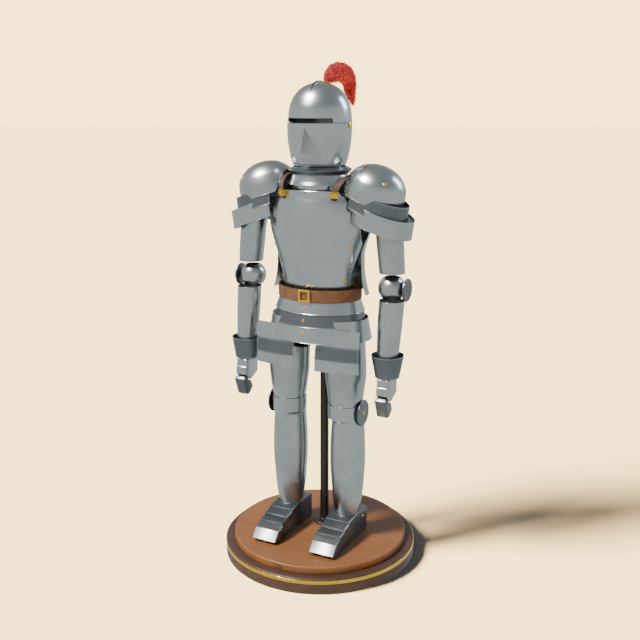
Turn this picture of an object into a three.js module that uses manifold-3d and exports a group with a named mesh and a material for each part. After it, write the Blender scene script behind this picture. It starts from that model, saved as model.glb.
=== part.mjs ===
// Suit of plate armour on a display stand.
// Millimetres, +Z up. The figure faces -Y and its left side is +X.
// The origin is the centre of the underside of the base, on the floor.
import * as THREE from 'three';
import { mergeVertices } from 'three/addons/utils/BufferGeometryUtils.js';
import Module from 'manifold-3d';

const wasm = await Module();
wasm.setup();

// ---------------------------------------------------------------- driving sizes
const WALL = 1.6;            // steel plate
const GAP = 0.5;             // air between two pieces at a seam
const LAP = 2.8;             // how far a lapped plate stands outside the next one
const LEATHER = 3.5;         // belts and shoulder straps
const LIMB_SIDES = 14;       // facets round an arm or leg tube
const HELMET_SIDES = 20;
const WAIST_STEP = 14;       // degrees between the columns of a skirt lame

const BASE_SIDES = 60;
const BASE = { radius: 390, bandLow: 42, bandHigh: 58, height: 62.7 };
const BASE_TOP = { radius: 352, low: 63, height: 92.3, bevel: 3 };
const POLE = { y: 41, radius: 17.5, flangeRadius: 42, flangeHeight: 8 };
const HANGER = { z: 1448, halfWidth: 118, radius: 13 };

const HELMET_TOP = 1877;
const SLIT = { low: 1731, high: 1749, halfAngle: 50 };
const STUD = { z: 1723, radius: 11, height: 4.5 };
const SHOULDER = { x: 228.9, y: 1, z: 1489.5, tilt: 19 };
// Cone about the neck's axis that trims the inner edge of each pauldron.
const NECK_CUT = { low: 1440, lowRadius: 183, high: 1600, highRadius: 123 };
const ELBOW = { x: 302, y: 1, z: 1130, radius: 52 };
const KNEE = { x: 125.5, y: -25 };
const KNEE_WING = { y: -18, z: 624, radius: 53, inner: 196, thick: 5.5 };
const FOOT = { x: 128.3, halfWidth: 53, sole: BASE_TOP.height + GAP };

const FINISH = {
  steel: { color: 0x969e9e, roughness: 0.32, metalness: 0.9 },
  darkSteel: { color: 0x5f6468, roughness: 0.42, metalness: 0.85 },
  brass: { color: 0xd4a82e, roughness: 0.28, metalness: 0.95 },
  leather: { color: 0x8a5a3e, roughness: 0.7, metalness: 0 },
  plume: { color: 0xc8363a, roughness: 0.85, metalness: 0 },
  paleWood: { color: 0xa56e46, roughness: 0.55, metalness: 0 },
  darkWood: { color: 0x563c32, roughness: 0.5, metalness: 0 },
  blackSteel: { color: 0x2b2822, roughness: 0.5, metalness: 0.4 },
};

// ---------------------------------------------------------------- shared geometry
const group = new THREE.Group();
const radians = THREE.MathUtils.degToRad;
const vector = (x, y, z) => new THREE.Vector3(x, y, z);
const mix = (a, b, t) => a + (b - a) * t;

function add(name, geometry, finish, parent = group) {
  const material = new THREE.MeshStandardMaterial(FINISH[finish]);
  const mesh = new THREE.Mesh(tidied(geometry), material);
  mesh.name = name;
  parent.add(mesh);
  return mesh;
}

// Joins equal corners, drops triangles without area and turns the faces outwards.
function closed(positions, triangles) {
  const raw = new THREE.BufferGeometry();
  raw.setAttribute('position', new THREE.Float32BufferAttribute(positions, 3));
  raw.setIndex(triangles);
  return tidied(raw);
}

function tidied(raw) {
  const bare = raw.clone();
  bare.deleteAttribute('normal');
  bare.deleteAttribute('uv');
  const merged = mergeVertices(bare, 1e-3);
  const old = merged.index.array;
  const kept = [];
  for (let i = 0; i < old.length; i += 3) {
    const [a, b, c] = [old[i], old[i + 1], old[i + 2]];
    if (a !== b && b !== c && c !== a) kept.push(a, b, c);
  }
  if (volumeOf(merged.attributes.position, kept) < 0) flip(kept);
  merged.setIndex(kept);
  return merged;
}

function volumeOf(position, triangles) {
  const [a, b, c] = [vector(), vector(), vector()];
  let total = 0;
  for (let i = 0; i < triangles.length; i += 3) {
    a.fromBufferAttribute(position, triangles[i]);
    b.fromBufferAttribute(position, triangles[i + 1]);
    c.fromBufferAttribute(position, triangles[i + 2]);
    total += a.dot(b.cross(c)) / 6;
  }
  return total;
}

function flip(triangles) {
  for (let i = 0; i < triangles.length; i += 3) {
    [triangles[i + 1], triangles[i + 2]] = [triangles[i + 2], triangles[i + 1]];
  }
}

function solid(geometry) {
  const tidy = tidied(geometry);
  return new wasm.Manifold(new wasm.Mesh({
    numProp: 3,
    vertProperties: new Float32Array(tidy.attributes.position.array),
    triVerts: new Uint32Array(tidy.index.array),
  }));
}

function geometryOf(manifold) {
  const mesh = manifold.getMesh();
  return closed(Array.from(mesh.vertProperties), Array.from(mesh.triVerts));
}

const cut = (geometry, ...tools) => geometryOf(
  tools.reduce((body, tool) => body.subtract(solid(tool)), solid(geometry)));
const join = (geometry, ...others) => geometryOf(
  others.reduce((body, other) => body.add(solid(other)), solid(geometry)));

function mirrored(geometry) {
  const copy = geometry.clone();
  const { array } = copy.attributes.position;
  for (let i = 0; i < array.length; i += 3) array[i] = -array[i];
  return tidied(copy);
}

// One left-hand geometry makes both of a pair.
function addPair(name, geometry, finish) {
  add(`${name}_left`, geometry, finish);
  add(`${name}_right`, mirrored(geometry), finish);
}

// Outward direction at each point of a grid of rows; a ring's rows close on themselves.
function gridNormals(rows, ring) {
  return rows.map((row, i) => row.map((point, j) => {
    const last = row.length - 1;
    const before = ring ? row[(j + last) % (last + 1)] : row[Math.max(j - 1, 0)];
    const after = ring ? row[(j + 1) % (last + 1)] : row[Math.min(j + 1, last)];
    const below = rows[Math.max(i - 1, 0)][j];
    const above = rows[Math.min(i + 1, rows.length - 1)][j];
    const along = after.clone().sub(before);
    const up = above.clone().sub(below);
    const normal = along.cross(up);
    if (normal.lengthSq() < 1e-9) return vector(0, 0, 1);
    return normal.normalize();
  }));
}

// A steel or leather wall. rows run upwards and each row runs anticlockwise seen from above,
// so the rows are the outside; the inside lies `wall` behind them and the rims are closed.
// `grow` moves both sides and the lower rim out, to make a cutter that leaves air round a plate.
function plate(rows, { wall = WALL, ring = false, grow = 0 } = {}) {
  const normals = gridNormals(rows, ring);
  const width = rows[0].length;
  const count = rows.length * width;
  const positions = [];
  for (const depth of [grow, -wall - grow]) {
    rows.forEach((row, i) => row.forEach((point, j) => {
      const down = point.clone().sub(rows[1][j]).normalize();
      const moved = point.clone().addScaledVector(normals[i][j], depth);
      if (i === 0) moved.addScaledVector(down, grow);
      positions.push(...moved.toArray());
    }));
  }
  const at = (i, j, inside) => i * width + (j % width) + (inside ? count : 0);
  const triangles = [];
  const quad = (a, b, c, d) => triangles.push(a, b, c, a, c, d);
  const columns = ring ? width : width - 1;
  for (let j = 0; j < columns; j++) {
    for (let i = 0; i < rows.length - 1; i++) {
      quad(at(i, j), at(i, j + 1), at(i + 1, j + 1), at(i + 1, j));
      quad(at(i, j, 1), at(i + 1, j, 1), at(i + 1, j + 1, 1), at(i, j + 1, 1));
    }
    const top = rows.length - 1;
    quad(at(0, j), at(0, j, 1), at(0, j + 1, 1), at(0, j + 1));
    quad(at(top, j), at(top, j + 1), at(top, j + 1, 1), at(top, j, 1));
  }
  if (!ring) {
    const end = width - 1;
    for (let i = 0; i < rows.length - 1; i++) {
      quad(at(i, 0), at(i + 1, 0), at(i + 1, 0, 1), at(i, 0, 1));
      quad(at(i, end), at(i, end, 1), at(i + 1, end, 1), at(i + 1, end));
    }
  }
  return closed(positions, triangles);
}

// A closed solid through rings of equal count, flat at both ends.
function loft(rings) {
  const width = rings[0].length;
  const positions = rings.flatMap((ring) => ring.flatMap((point) => point.toArray()));
  const triangles = [];
  for (let i = 0; i < rings.length - 1; i++) {
    for (let j = 0; j < width; j++) {
      const [a, b] = [i * width + j, i * width + (j + 1) % width];
      triangles.push(a, b, b + width, a, b + width, a + width);
    }
  }
  const top = (rings.length - 1) * width;
  for (let j = 1; j < width - 1; j++) {
    triangles.push(0, j + 1, j, top, top + j, top + j + 1);
  }
  return closed(positions, triangles);
}

// Point on an oval section: angle 0 is the front (-Y), 90 the figure's left (+X).
function ovalPoint({ z, x = 0, y = 0, side, front, back = front, ridge = 0 }, angle) {
  const turn = radians(angle);
  const facing = Math.cos(turn);
  const depth = facing > 0 ? front : back;
  const keel = ridge * Math.max(0, 1 - Math.abs(angle) / RIDGE_ANGLE);
  return vector(x + side * Math.sin(turn), y - depth * facing - keel, z);
}
const RIDGE_ANGLE = 34;      // a centre ridge fades out this far to each side

function ovalRow(section, from, to, count) {
  return Array.from({ length: count + 1 }, (_, k) => (
    ovalPoint(section, mix(from, to, k / count))));
}

function ovalRing(section, sides) {
  return ovalRow(section, -180, 180, sides).slice(0, sides);
}

const tube = (sections, sides = LIMB_SIDES, options = {}) => plate(
  sections.map((section) => ovalRing(section, sides)), { ring: true, ...options });

// A section table may name its round sections by radius alone.
const round = ({ radius, ...rest }) => ({ side: radius, front: radius, ...rest });

function lathe(profile, sides) {
  const points = profile.map(([radius, z]) => new THREE.Vector2(radius, z));
  return tidied(new THREE.LatheGeometry(points, sides).rotateX(Math.PI / 2));
}

function cylinderBetween(from, to, radius, sides = 24) {
  const axis = to.clone().sub(from);
  const geometry = new THREE.CylinderGeometry(radius, radius, axis.length(), sides);
  const turn = new THREE.Quaternion().setFromUnitVectors(
    vector(0, 1, 0), axis.clone().normalize());
  geometry.applyQuaternion(turn);
  const middle = from.clone().add(to).multiplyScalar(0.5);
  return geometry.translate(middle.x, middle.y, middle.z);
}

const block = (width, depth, height, x, y, z) => (
  new THREE.BoxGeometry(width, depth, height).translate(x, y, z));

// ---------------------------------------------------------------- stand
function buildStand() {
  const { radius, bandLow, bandHigh, height } = BASE;
  const groove = radius - 4;
  add('base_plinth', lathe([
    [0, 0], [radius - 3, 0], [radius - 1, 3], [radius - 1, bandLow], [groove, bandLow],
    [groove, bandHigh], [radius - 2, bandHigh], [radius - 5, height], [0, height],
  ], BASE_SIDES), 'darkWood');
  add('base_band', lathe([
    [groove + GAP, bandLow + GAP], [radius, bandLow + GAP],
    [radius, bandHigh - GAP], [groove + GAP, bandHigh - GAP], [groove + GAP, bandLow + GAP],
  ], BASE_SIDES), 'brass');
  const { radius: upper, low, height: topHeight, bevel } = BASE_TOP;
  add('base_top', lathe([
    [0, low], [upper - 1, low], [upper, low + 2], [upper, topHeight - bevel],
    [upper - bevel, topHeight], [0, topHeight],
  ], BASE_SIDES), 'paleWood');
  buildPole();
}

// The flange, and the upright with the shoulder bar welded across its top.
function buildPole() {
  const foot = BASE_TOP.height + GAP;
  const { y, radius, flangeRadius, flangeHeight } = POLE;
  add('pole_flange', lathe([
    [0, foot], [flangeRadius - 2, foot], [flangeRadius, foot + 2],
    [flangeRadius - 2, foot + flangeHeight], [0, foot + flangeHeight],
  ], 20).translate(0, y, 0), 'blackSteel');
  const low = foot + flangeHeight + GAP;
  const upright = lathe([
    [0, low], [radius, low], [radius, HANGER.z + 12], [radius - 3, HANGER.z + 15],
    [0, HANGER.z + 15],
  ], 20).translate(0, y, 0);
  const bar = cylinderBetween(
    vector(-HANGER.halfWidth, y, HANGER.z), vector(HANGER.halfWidth, y, HANGER.z),
    HANGER.radius, 16);
  add('display_pole', join(upright, bar), 'blackSteel');
}

// ---------------------------------------------------------------- helmet
const HELMET_PROFILE = [
  { z: 1564, radius: 91 },
  { z: 1590, radius: 102.5 },
  { z: 1625, radius: 111.6 },
  { z: 1675, radius: 118.6 },
  { z: 1704, radius: 120 },
  { z: 1731, radius: 120.2 },
  { z: 1780, radius: 116 },
  { z: 1815, radius: 104.5 },
  { z: 1850, radius: 78 },
  { z: 1870, radius: 43.5 },
  { z: HELMET_TOP, radius: 0.02 },
];
const FACE_TOP_ROW = 5;      // the face plate reaches up to the slit's lower edge

// Half-angle of the face plate at each of its rows: narrow at the jaw, wide at the studs.
const FACE_REACH = [76, 77, 79, 86, 93, 99];
const FACE_COLUMNS = 18;
const NOSE = { top: 1716, low: 1625, reach: 161, halfAngle: 27 };

function helmetRadius(z) {
  const rows = HELMET_PROFILE;
  const k = Math.max(0, rows.findIndex((row) => row.z >= z) - 1);
  const t = (z - rows[k].z) / (rows[k + 1].z - rows[k].z);
  return mix(rows[k].radius, rows[k + 1].radius, t);
}

// The pressed ridge over the nose: a hollow three-sided point, flat underneath.
function noseSolid(inset) {
  const tip = vector(0, -NOSE.reach + inset * 2.2, NOSE.low + inset);
  const top = vector(0, -helmetRadius(NOSE.top) - LAP + inset * 0.6, NOSE.top - inset * 2.2);
  const corner = (sign) => {
    const reach = helmetRadius(NOSE.low) + LAP - inset * 0.6;
    const angle = radians(sign * (NOSE.halfAngle - inset * 0.8));
    return vector(reach * Math.sin(angle), -reach * Math.cos(angle), NOSE.low + inset);
  };
  const behind = 10 + inset * 6;
  const back = [top, corner(-1), corner(1)].map((p) => (
    vector(p.x * 0.9, p.y + behind, p.z)));
  const points = [tip, top, corner(-1), corner(1), ...back];
  const positions = points.flatMap((point) => point.toArray());
  const triangles = [
    0, 1, 3, 0, 2, 1, 0, 3, 2, 1, 2, 5, 1, 5, 4, 2, 3, 6, 2, 6, 5, 3, 1, 4, 3, 4, 6, 4, 5, 6,
  ];
  return closed(positions, triangles);
}

function buildHelmet() {
  const skull = tube(HELMET_PROFILE.map(round), HELMET_SIDES);
  const reachAt = (k) => FACE_REACH[k] - 9;
  const openingRows = HELMET_PROFILE.slice(0, FACE_TOP_ROW + 1).map((row, k) => (
    ovalRow(round({ z: row.z - (k === 0 ? 4 : 0), radius: row.radius + 6 }),
      -reachAt(k), reachAt(k), FACE_COLUMNS)));
  const faceOpening = plate(openingRows, { wall: 16 });
  const slitRows = [SLIT.low - 2, SLIT.high].map((z) => (
    ovalRow(round({ z, radius: helmetRadius(z) + 6 }), -SLIT.halfAngle, SLIT.halfAngle, 12)));
  const slit = plate(slitRows, { wall: 16 });
  add('helmet_skull', cut(skull, faceOpening, slit), 'steel');

  const faceRows = HELMET_PROFILE.slice(0, FACE_TOP_ROW + 1).map((row, k) => (
    ovalRow(round({ z: row.z, radius: row.radius + LAP }), -FACE_REACH[k], FACE_REACH[k], FACE_COLUMNS)));
  const face = cut(join(plate(faceRows), noseSolid(0)), noseSolid(1.6));
  add('helmet_face_plate', face, 'steel');

  const seat = helmetRadius(STUD.z) + LAP + GAP;
  addPair('helmet_stud', cylinderBetween(
    vector(seat, 0, STUD.z), vector(seat + STUD.height, 0, STUD.z), STUD.radius, 20), 'brass');
  add('helmet_comb', combGeometry(), 'darkSteel');
}

// The helmet as a solid, with air round it: it trims what is seated on the crown.
const helmetAndAir = () => loft(HELMET_PROFILE.map(({ z, radius }) => (
  ovalRing(round({ z: z + GAP, radius: radius + GAP }), HELMET_SIDES))));

// A low steel rib over the crown, from above the brow back to the plume socket.
const COMB = { front: -92, rear: 47, halfWidth: 7.5, height: 7, depth: 8, steps: 8 };
function combGeometry() {
  const rows = HELMET_PROFILE.filter((row) => row.z > SLIT.low);
  const crown = (y) => {
    const k = rows.findIndex((row) => row.radius <= Math.abs(y));
    const t = (rows[k - 1].radius - Math.abs(y)) / (rows[k - 1].radius - rows[k].radius);
    return mix(rows[k - 1].z, rows[k].z, t);
  };
  const rings = Array.from({ length: COMB.steps + 1 }, (_, k) => {
    const t = k / COMB.steps;
    const y = mix(COMB.front, COMB.rear, t);
    const low = crown(y) - COMB.depth;
    const top = crown(y) + COMB.height * Math.sqrt(Math.sin(Math.PI * mix(0.05, 0.85, t)));
    const half = COMB.halfWidth;
    return [
      vector(-half, y, low), vector(half, y, low),
      vector(half * 0.6, y, top), vector(-half * 0.6, y, top),
    ];
  });
  return cut(loft(rings), helmetAndAir());
}

// ---------------------------------------------------------------- plume
const PLUME_PATH = [
  { y: 74, z: 1876, radius: 15 },
  { y: 76, z: 1884, radius: 23 },
  { y: 89, z: 1898, radius: 28 },
  { y: 116, z: 1913, radius: 33 },
  { y: 160, z: 1917, radius: 36 },
  { y: 210, z: 1911, radius: 34 },
  { y: 243, z: 1893, radius: 30 },
  { y: 257, z: 1868, radius: 26.5 },
  { y: 266, z: 1842, radius: 22 },
  { y: 280, z: 1815, radius: 14 },
  { y: 292, z: 1795, radius: 5 },
];
const SOCKET = { y: 66, low: 1846, lowRadius: 9, radius: 12, top: 1875 };

function buildPlume() {
  const rings = PLUME_PATH.map(({ y, z, radius }, k) => {
    const before = PLUME_PATH[Math.max(k - 1, 0)];
    const after = PLUME_PATH[Math.min(k + 1, PLUME_PATH.length - 1)];
    const along = vector(0, after.y - before.y, after.z - before.z).normalize();
    const across = vector(0, -along.z, along.y);
    return Array.from({ length: 12 }, (_, j) => {
      const angle = (j / 12) * 2 * Math.PI;
      return vector(0, y, z).addScaledVector(vector(1, 0, 0), radius * Math.cos(angle))
        .addScaledVector(across, radius * Math.sin(angle));
    });
  });
  add('plume', loft(rings), 'plume');
  const socket = lathe([
    [0, SOCKET.low], [SOCKET.lowRadius, SOCKET.low], [SOCKET.radius, SOCKET.top], [0, SOCKET.top],
  ], 16).translate(0, SOCKET.y, 0);
  add('plume_socket', cut(socket, helmetAndAir()), 'brass');
}

// ---------------------------------------------------------------- gorget
function buildGorget() {
  add('gorget_collar', tube([
    { z: 1543.8, radius: 106.5 }, { z: 1559, radius: 121 }, { z: 1562.5, radius: 120.5 },
    { z: 1571, radius: 102 },
  ].map(round), HELMET_SIDES), 'darkSteel');
  add('gorget_plate', tube([
    { z: 1476, side: 106, front: 102 },
    { z: 1503, side: 107, front: 103 },
    { z: 1505, side: 121, front: 117 },
    { z: 1508, side: 121, front: 117 },
    { z: 1543, side: 106, front: 105 },
  ], HELMET_SIDES), 'steel');
}

// ---------------------------------------------------------------- breastplate and backplate
// `reach` is the half-angle at which the plate stops: the armhole and the side edge.
const BREAST = [
  { z: 1100, side: 145, front: 107, ridge: 1, reach: 88 },
  { z: 1185, side: 158, front: 119, ridge: 5, reach: 87 },
  { z: 1240, side: 172, front: 130, ridge: 6, reach: 86 },
  { z: 1286, side: 186, front: 138, ridge: 6, reach: 84 },
  { z: 1312, side: 195, front: 138, ridge: 6, reach: 76 },
  { z: 1350, side: 205, front: 135, ridge: 6, reach: 69 },
  { z: 1398, side: 209, front: 130, ridge: 5, reach: 64 },
  { z: 1440, side: 200, front: 123, ridge: 4, reach: 56 },
  { z: 1482, side: 176, front: 115, ridge: 2, reach: 43 },
  { z: 1487, side: 174, front: 118, ridge: 2, reach: 42 },
];
const BACK = [
  { z: 1093, side: 201, back: 140, reach: 95 },
  { z: 1128, side: 191, back: 138, reach: 95 },
  { z: 1190, side: 183, back: 121, reach: 95 },
  { z: 1245, side: 182, back: 124, reach: 95 },
  { z: 1290, side: 192, back: 132, reach: 93 },
  { z: 1325, side: 203, back: 138, reach: 84 },
  { z: 1370, side: 207, back: 142, reach: 72 },
  { z: 1420, side: 203, back: 143, reach: 62 },
  { z: 1500, side: 164, back: 130, reach: 46 },
];
const CUIRASS_COLUMNS = 12;
const breastRows = () => BREAST.map((row) => ovalRow(row, -row.reach, row.reach, CUIRASS_COLUMNS));

function buildCuirass() {
  add('breastplate', plate(breastRows()), 'steel');
  add('backplate', plate(BACK.map((row) => ovalRow(
    { front: row.back, ...row }, 180 - row.reach, 180 + row.reach, CUIRASS_COLUMNS))), 'steel');
}

// ---------------------------------------------------------------- straps and belt
const STRAP = { width: 22, steps: 14 };
const STRAP_PATH = [
  { x: 109, y: -105, z: 1460, turn: 30 },
  { x: 111, y: -102.5, z: 1478, turn: 30 },
  { x: 115, y: -93, z: 1500, turn: 27 },
  { x: 122, y: -72, z: 1520, turn: 19 },
  { x: 129, y: -38, z: 1534, turn: 8 },
  { x: 133, y: 0, z: 1540, turn: 0 },
  { x: 126, y: 42, z: 1533, turn: -8 },
  { x: 121, y: 80, z: 1519, turn: -20 },
  { x: 115, y: 104, z: 1502, turn: -30 },
  { x: 111, y: 114, z: 1478, turn: -36 },
];

function strapFrames() {
  const path = new THREE.CatmullRomCurve3(STRAP_PATH.map((p) => vector(p.x, p.y, p.z)));
  const turns = new THREE.CatmullRomCurve3(STRAP_PATH.map((p) => vector(p.turn, 0, 0)));
  return Array.from({ length: STRAP.steps + 1 }, (_, k) => {
    const t = k / STRAP.steps;
    const angle = radians(turns.getPoint(t).x);
    const along = path.getTangent(t);
    const width = vector(Math.cos(angle), Math.sin(angle), 0);
    width.addScaledVector(along, -width.dot(along)).normalize();
    return { centre: path.getPoint(t), width, face: width.clone().cross(along).normalize() };
  });
}

function strapGeometry(grow = 0) {
  const half = STRAP.width / 2 + grow;
  const [under, over] = [-grow, LEATHER + grow];
  return loft(strapFrames().map(({ centre, width, face }) => (
    [[-half, under], [half, under], [half, over], [-half, over]].map(([across, out]) => (
      centre.clone().addScaledVector(width, across).addScaledVector(face, out))))));
}

// A box buckle that the strap runs through, its back shaped to the breastplate.
const BUCKLE_BOX = { width: 31, height: 24, depth: 18, x: 109, y: -100.8, z: 1475, turn: 30 };
function strapBuckleGeometry() {
  const { width, height, depth, turn, x, y, z } = BUCKLE_BOX;
  const box = block(width, depth, height, 0, 0, 0)
    .rotateX(radians(-8)).rotateZ(radians(turn)).translate(x, y, z);
  const breastAndAir = plate(breastRows(), { wall: 24, grow: GAP });
  return cut(box, strapGeometry(GAP), breastAndAir);
}

const BELT = { low: 1071, high: 1119, side: 170, front: 131, back: 131 };
const BUCKLE = { size: 50, bar: 9.6, depth: 5 };
function buildStraps() {
  addPair('shoulder_strap', strapGeometry(), 'leather');
  addPair('shoulder_buckle', strapBuckleGeometry(), 'brass');
  add('belt', tube([{ ...BELT, z: BELT.low }, { ...BELT, z: BELT.high }], 32, { wall: LEATHER }),
    'leather');
  const middle = (BELT.low + BELT.high) / 2;
  const y = -BELT.front - GAP - BUCKLE.depth / 2;
  const hole = BUCKLE.size - 2 * BUCKLE.bar;
  add('belt_buckle', cut(
    block(BUCKLE.size, BUCKLE.depth, BUCKLE.size, 0, y, middle),
    block(hole, BUCKLE.depth * 3, hole, 0, y, middle)), 'brass');
}

// ---------------------------------------------------------------- fauld, culet and tassets
const FAULD_REACH = 84;
const FAULD = [
  {
    finish: 'steel',
    low: { z: 1026, side: 183, front: 137, ridge: 1 },
    high: { z: 1094, side: 156, front: 117, ridge: 0 },
  },
  {
    finish: 'darkSteel',
    low: { z: 976, side: 190, front: 146, ridge: 1 },
    high: { z: 1037, side: 176, front: 131, ridge: 1 },
  },
  {
    finish: 'steel',
    low: { z: 917, side: 213, front: 155, ridge: 1 },
    high: { z: 1000, side: 199, front: 135.5, ridge: 1 },
  },
];

// Two rows of a skirt lame over `columns` steps, each widened by `extra` steps at both ends.
function skirtRows({ low, high }, from, to, extra = 0) {
  const columns = Math.round((to - from) / WAIST_STEP);
  const margin = extra * (to - from) / columns;
  return [low, high].map((row) => (
    ovalRow(row, from - margin, to + margin, columns + 2 * extra)));
}

// The last lame stands outside the one above at the hips and ends under it in front.
function lamePlates(from, to) {
  const above = plate(skirtRows(FAULD[1], from, to, 1), { grow: GAP });
  return FAULD.map((lame, k) => {
    const geometry = plate(skirtRows(lame, from, to));
    return k === 2 ? cut(geometry, above) : geometry;
  });
}

const TASSET = { innerX: 47, outerX: 220, bow: 5 };
const TASSET_LAMES = [
  {
    finish: 'steel',
    low: 900, lowInner: -127, lowOuter: -113,
    high: 972, highInner: -118, highOuter: -106,
  },
  {
    finish: 'darkSteel',
    low: 852, lowInner: -140.5, lowOuter: -117.5,
    high: 907, highInner: -131, highOuter: -117,
  },
  {
    finish: 'steel',
    low: 808, lowInner: -141, lowOuter: -113,
    high: 859, highInner: -137, highOuter: -114,
  },
];

function tassetRows({ low, lowInner, lowOuter, high, highInner, highOuter }) {
  const line = (z, inner, outer) => Array.from({ length: 7 }, (_, k) => {
    const t = k / 6;
    const bulge = TASSET.bow * 4 * t * (1 - t);
    return vector(mix(TASSET.innerX, TASSET.outerX, t), mix(inner, outer, t) - bulge, z);
  });
  return [line(low, lowInner, lowOuter), line(high, highInner, highOuter)];
}

function buildSkirt() {
  lamePlates(-FAULD_REACH, FAULD_REACH).forEach((geometry, k) => {
    add(`fauld_${k + 1}`, geometry, FAULD[k].finish);
  });
  const seam = FAULD_REACH + 0.5;
  lamePlates(seam, 360 - seam).forEach((geometry, k) => {
    add(`culet_${k + 1}`, geometry, FAULD[k].finish);
  });
  const hem = plate(skirtRows(FAULD[2], -FAULD_REACH, FAULD_REACH, 1), { grow: 2 * GAP });
  TASSET_LAMES.forEach((lame, k) => {
    const geometry = plate(tassetRows(lame));
    addPair(`tasset_${k + 1}`, k === 0 ? cut(geometry, hem) : geometry, lame.finish);
  });
}

// ---------------------------------------------------------------- pauldrons
// Built about the middle of the shoulder cap, then tilted and moved out to the shoulder.
// Angle 90 points away from the neck.
const CAP = [
  { z: -38, side: 115, front: 110.5 },
  { z: -6, side: 115.8, front: 110.6 },
  { z: 30, side: 110, front: 104.5 },
  { z: 60, side: 90.5, front: 86 },
  { z: 84, side: 55.5, front: 53 },
  { z: 95, side: 0.02, front: 0.02 },
];
const CAP_SIDES = 18;
// `fore` and `rear` are the angles at which a lame ends, in front of and behind the arm.
const SHOULDER_LAMES = [
  {
    finish: 'darkSteel', fore: -28, rear: 208,
    low: { z: -75, x: 20, side: 134, front: 113 },
    high: { z: -12, x: 9, side: 132, front: 106 },
  },
  {
    finish: 'steel', fore: -42, rear: 210,
    low: { z: -121, x: 64, side: 126, front: 116 },
    high: { z: -55, x: 53, side: 125, front: 113.5 },
  },
];

function atShoulder(geometry) {
  return geometry.clone().rotateY(radians(SHOULDER.tilt))
    .translate(SHOULDER.x, SHOULDER.y, SHOULDER.z);
}

const shoulderLame = ({ low, high, fore, rear }, grow = 0) => plate(
  [low, high].map((row) => ovalRow(row, fore, rear, 14)), { grow });

function buildPauldrons() {
  const { low, lowRadius, high, highRadius } = NECK_CUT;
  const neck = lathe([[0, low], [lowRadius, low], [highRadius, high], [0, high]], 40);
  addPair('pauldron', cut(atShoulder(tube(CAP, CAP_SIDES)), neck), 'steel');
  const capAndAir = atShoulder(tube(CAP, CAP_SIDES, { grow: GAP }));
  const [upper, lower] = SHOULDER_LAMES;
  addPair('pauldron_lame_1', cut(atShoulder(shoulderLame(upper)), capAndAir), upper.finish);
  const upperAndAir = atShoulder(shoulderLame(upper, GAP));
  addPair('pauldron_lame_2', cut(atShoulder(shoulderLame(lower)), upperAndAir), lower.finish);
}

// ---------------------------------------------------------------- arms
const UPPER_ARM = [
  { z: 1190, x: 306, y: -8.7, radius: 48.5 },
  { z: 1310, x: 294, y: -7, radius: 51 },
  { z: 1392, x: 284, y: -4, radius: 51 },
];
const FOREARM = [
  { z: 868, x: 308.5, y: -46, radius: 41 },
  { z: 1010, x: 309, y: -27, radius: 47 },
  { z: 1086, x: 310, y: -17, radius: 48 },
];
const CUFF = [
  { z: 798, x: 310, y: -48, radius: 46 },
  { z: 882, x: 308.5, y: -45, radius: 62 },
];
const COUTER_ROWS = [-42, -23, 0, 23, 42];
const COUTER_WING = { radius: 44, inner: 359, thick: 7.5, y: 3, z: 1127 };

// A dished disc of steel on the outer side of a joint cop, with a bevelled rim.
function wingDisc({ radius, thick, y, z }, inner) {
  return lathe([
    [0, 0], [radius, 0], [radius, thick - 2.5], [radius - 3, thick], [0, thick - 1],
  ], 20).rotateY(Math.PI / 2).translate(inner, y, z);
}

function couterGeometry() {
  const { x, y, z, radius } = ELBOW;
  const cop = tube(COUTER_ROWS.map((h) => (
    round({ x, y, z: z + h, radius: Math.sqrt(radius ** 2 - h ** 2) }))));
  const post = cylinderBetween(
    vector(x + radius - 2.4, COUTER_WING.y, COUTER_WING.z),
    vector(COUTER_WING.inner + 1, COUTER_WING.y, COUTER_WING.z), 9, 10);
  return join(cop, post, wingDisc(COUTER_WING, COUTER_WING.inner));
}

// Side outline of the metal of the hand, front to back, thumb side forward.
const HAND = { x: 309, halfWidth: 23.5 };
const FINGERS = { x: 309, halfWidth: 22.5 };
const WRIST_MOUTH = { y: -50, z: 794, depth: 76, height: 12 };
const KNUCKLE_MOUTH = { y: -80, z: 710, depth: 24, height: 20 };
const HAND_OUTLINE = [
  { y: -92, z: 795 }, { y: -8, z: 795 }, { y: -3, z: 780 }, { y: -6, z: 727 },
  { y: -60, z: 704 }, { y: -90, z: 722 }, { y: -98, z: 734 }, { y: -98, z: 762 },
  { y: -94, z: 766 }, { y: -92, z: 772 },
];
const FINGER_OUTLINE = [
  { y: -103, z: 727 }, { y: -114, z: 716 }, { y: -88, z: 647 }, { y: -70, z: 646 },
  { y: -43, z: 669 }, { y: -56, z: 700 }, { y: -66, z: 703.2 }, { y: -92, z: 719 },
];

// A block with the given outline in the YZ plane; `inset` draws the outline in all round.
function sideExtrusion(outline, { x, halfWidth, bevel = 2, inset = 0 }) {
  const shape = new THREE.Shape(outline.map(({ y, z }) => new THREE.Vector2(y, z)));
  const half = halfWidth - inset;
  const geometry = new THREE.ExtrudeGeometry(shape, {
    depth: 2 * half - 2 * bevel, bevelEnabled: true, bevelThickness: bevel,
    bevelSize: bevel, bevelOffset: -bevel - inset, bevelSegments: 1,
  });
  // The shape's axes become +Y and +Z, and the extrusion runs along +X.
  const turn = new THREE.Matrix4().makeBasis(vector(0, 1, 0), vector(0, 0, 1), vector(1, 0, 0));
  return geometry.applyMatrix4(turn).translate(x - half + bevel, 0, 0);
}

// A hollow of the same outline, with its mouth cut through the wall by a block.
function hollowed(outline, size, wall, mouth) {
  const inner = sideExtrusion(outline, { ...size, bevel: 1, inset: wall });
  const opening = block(
    2 * (size.halfWidth - wall) - 2, mouth.depth, mouth.height, size.x, mouth.y, mouth.z);
  return cut(sideExtrusion(outline, size), inner, opening);
}

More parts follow.
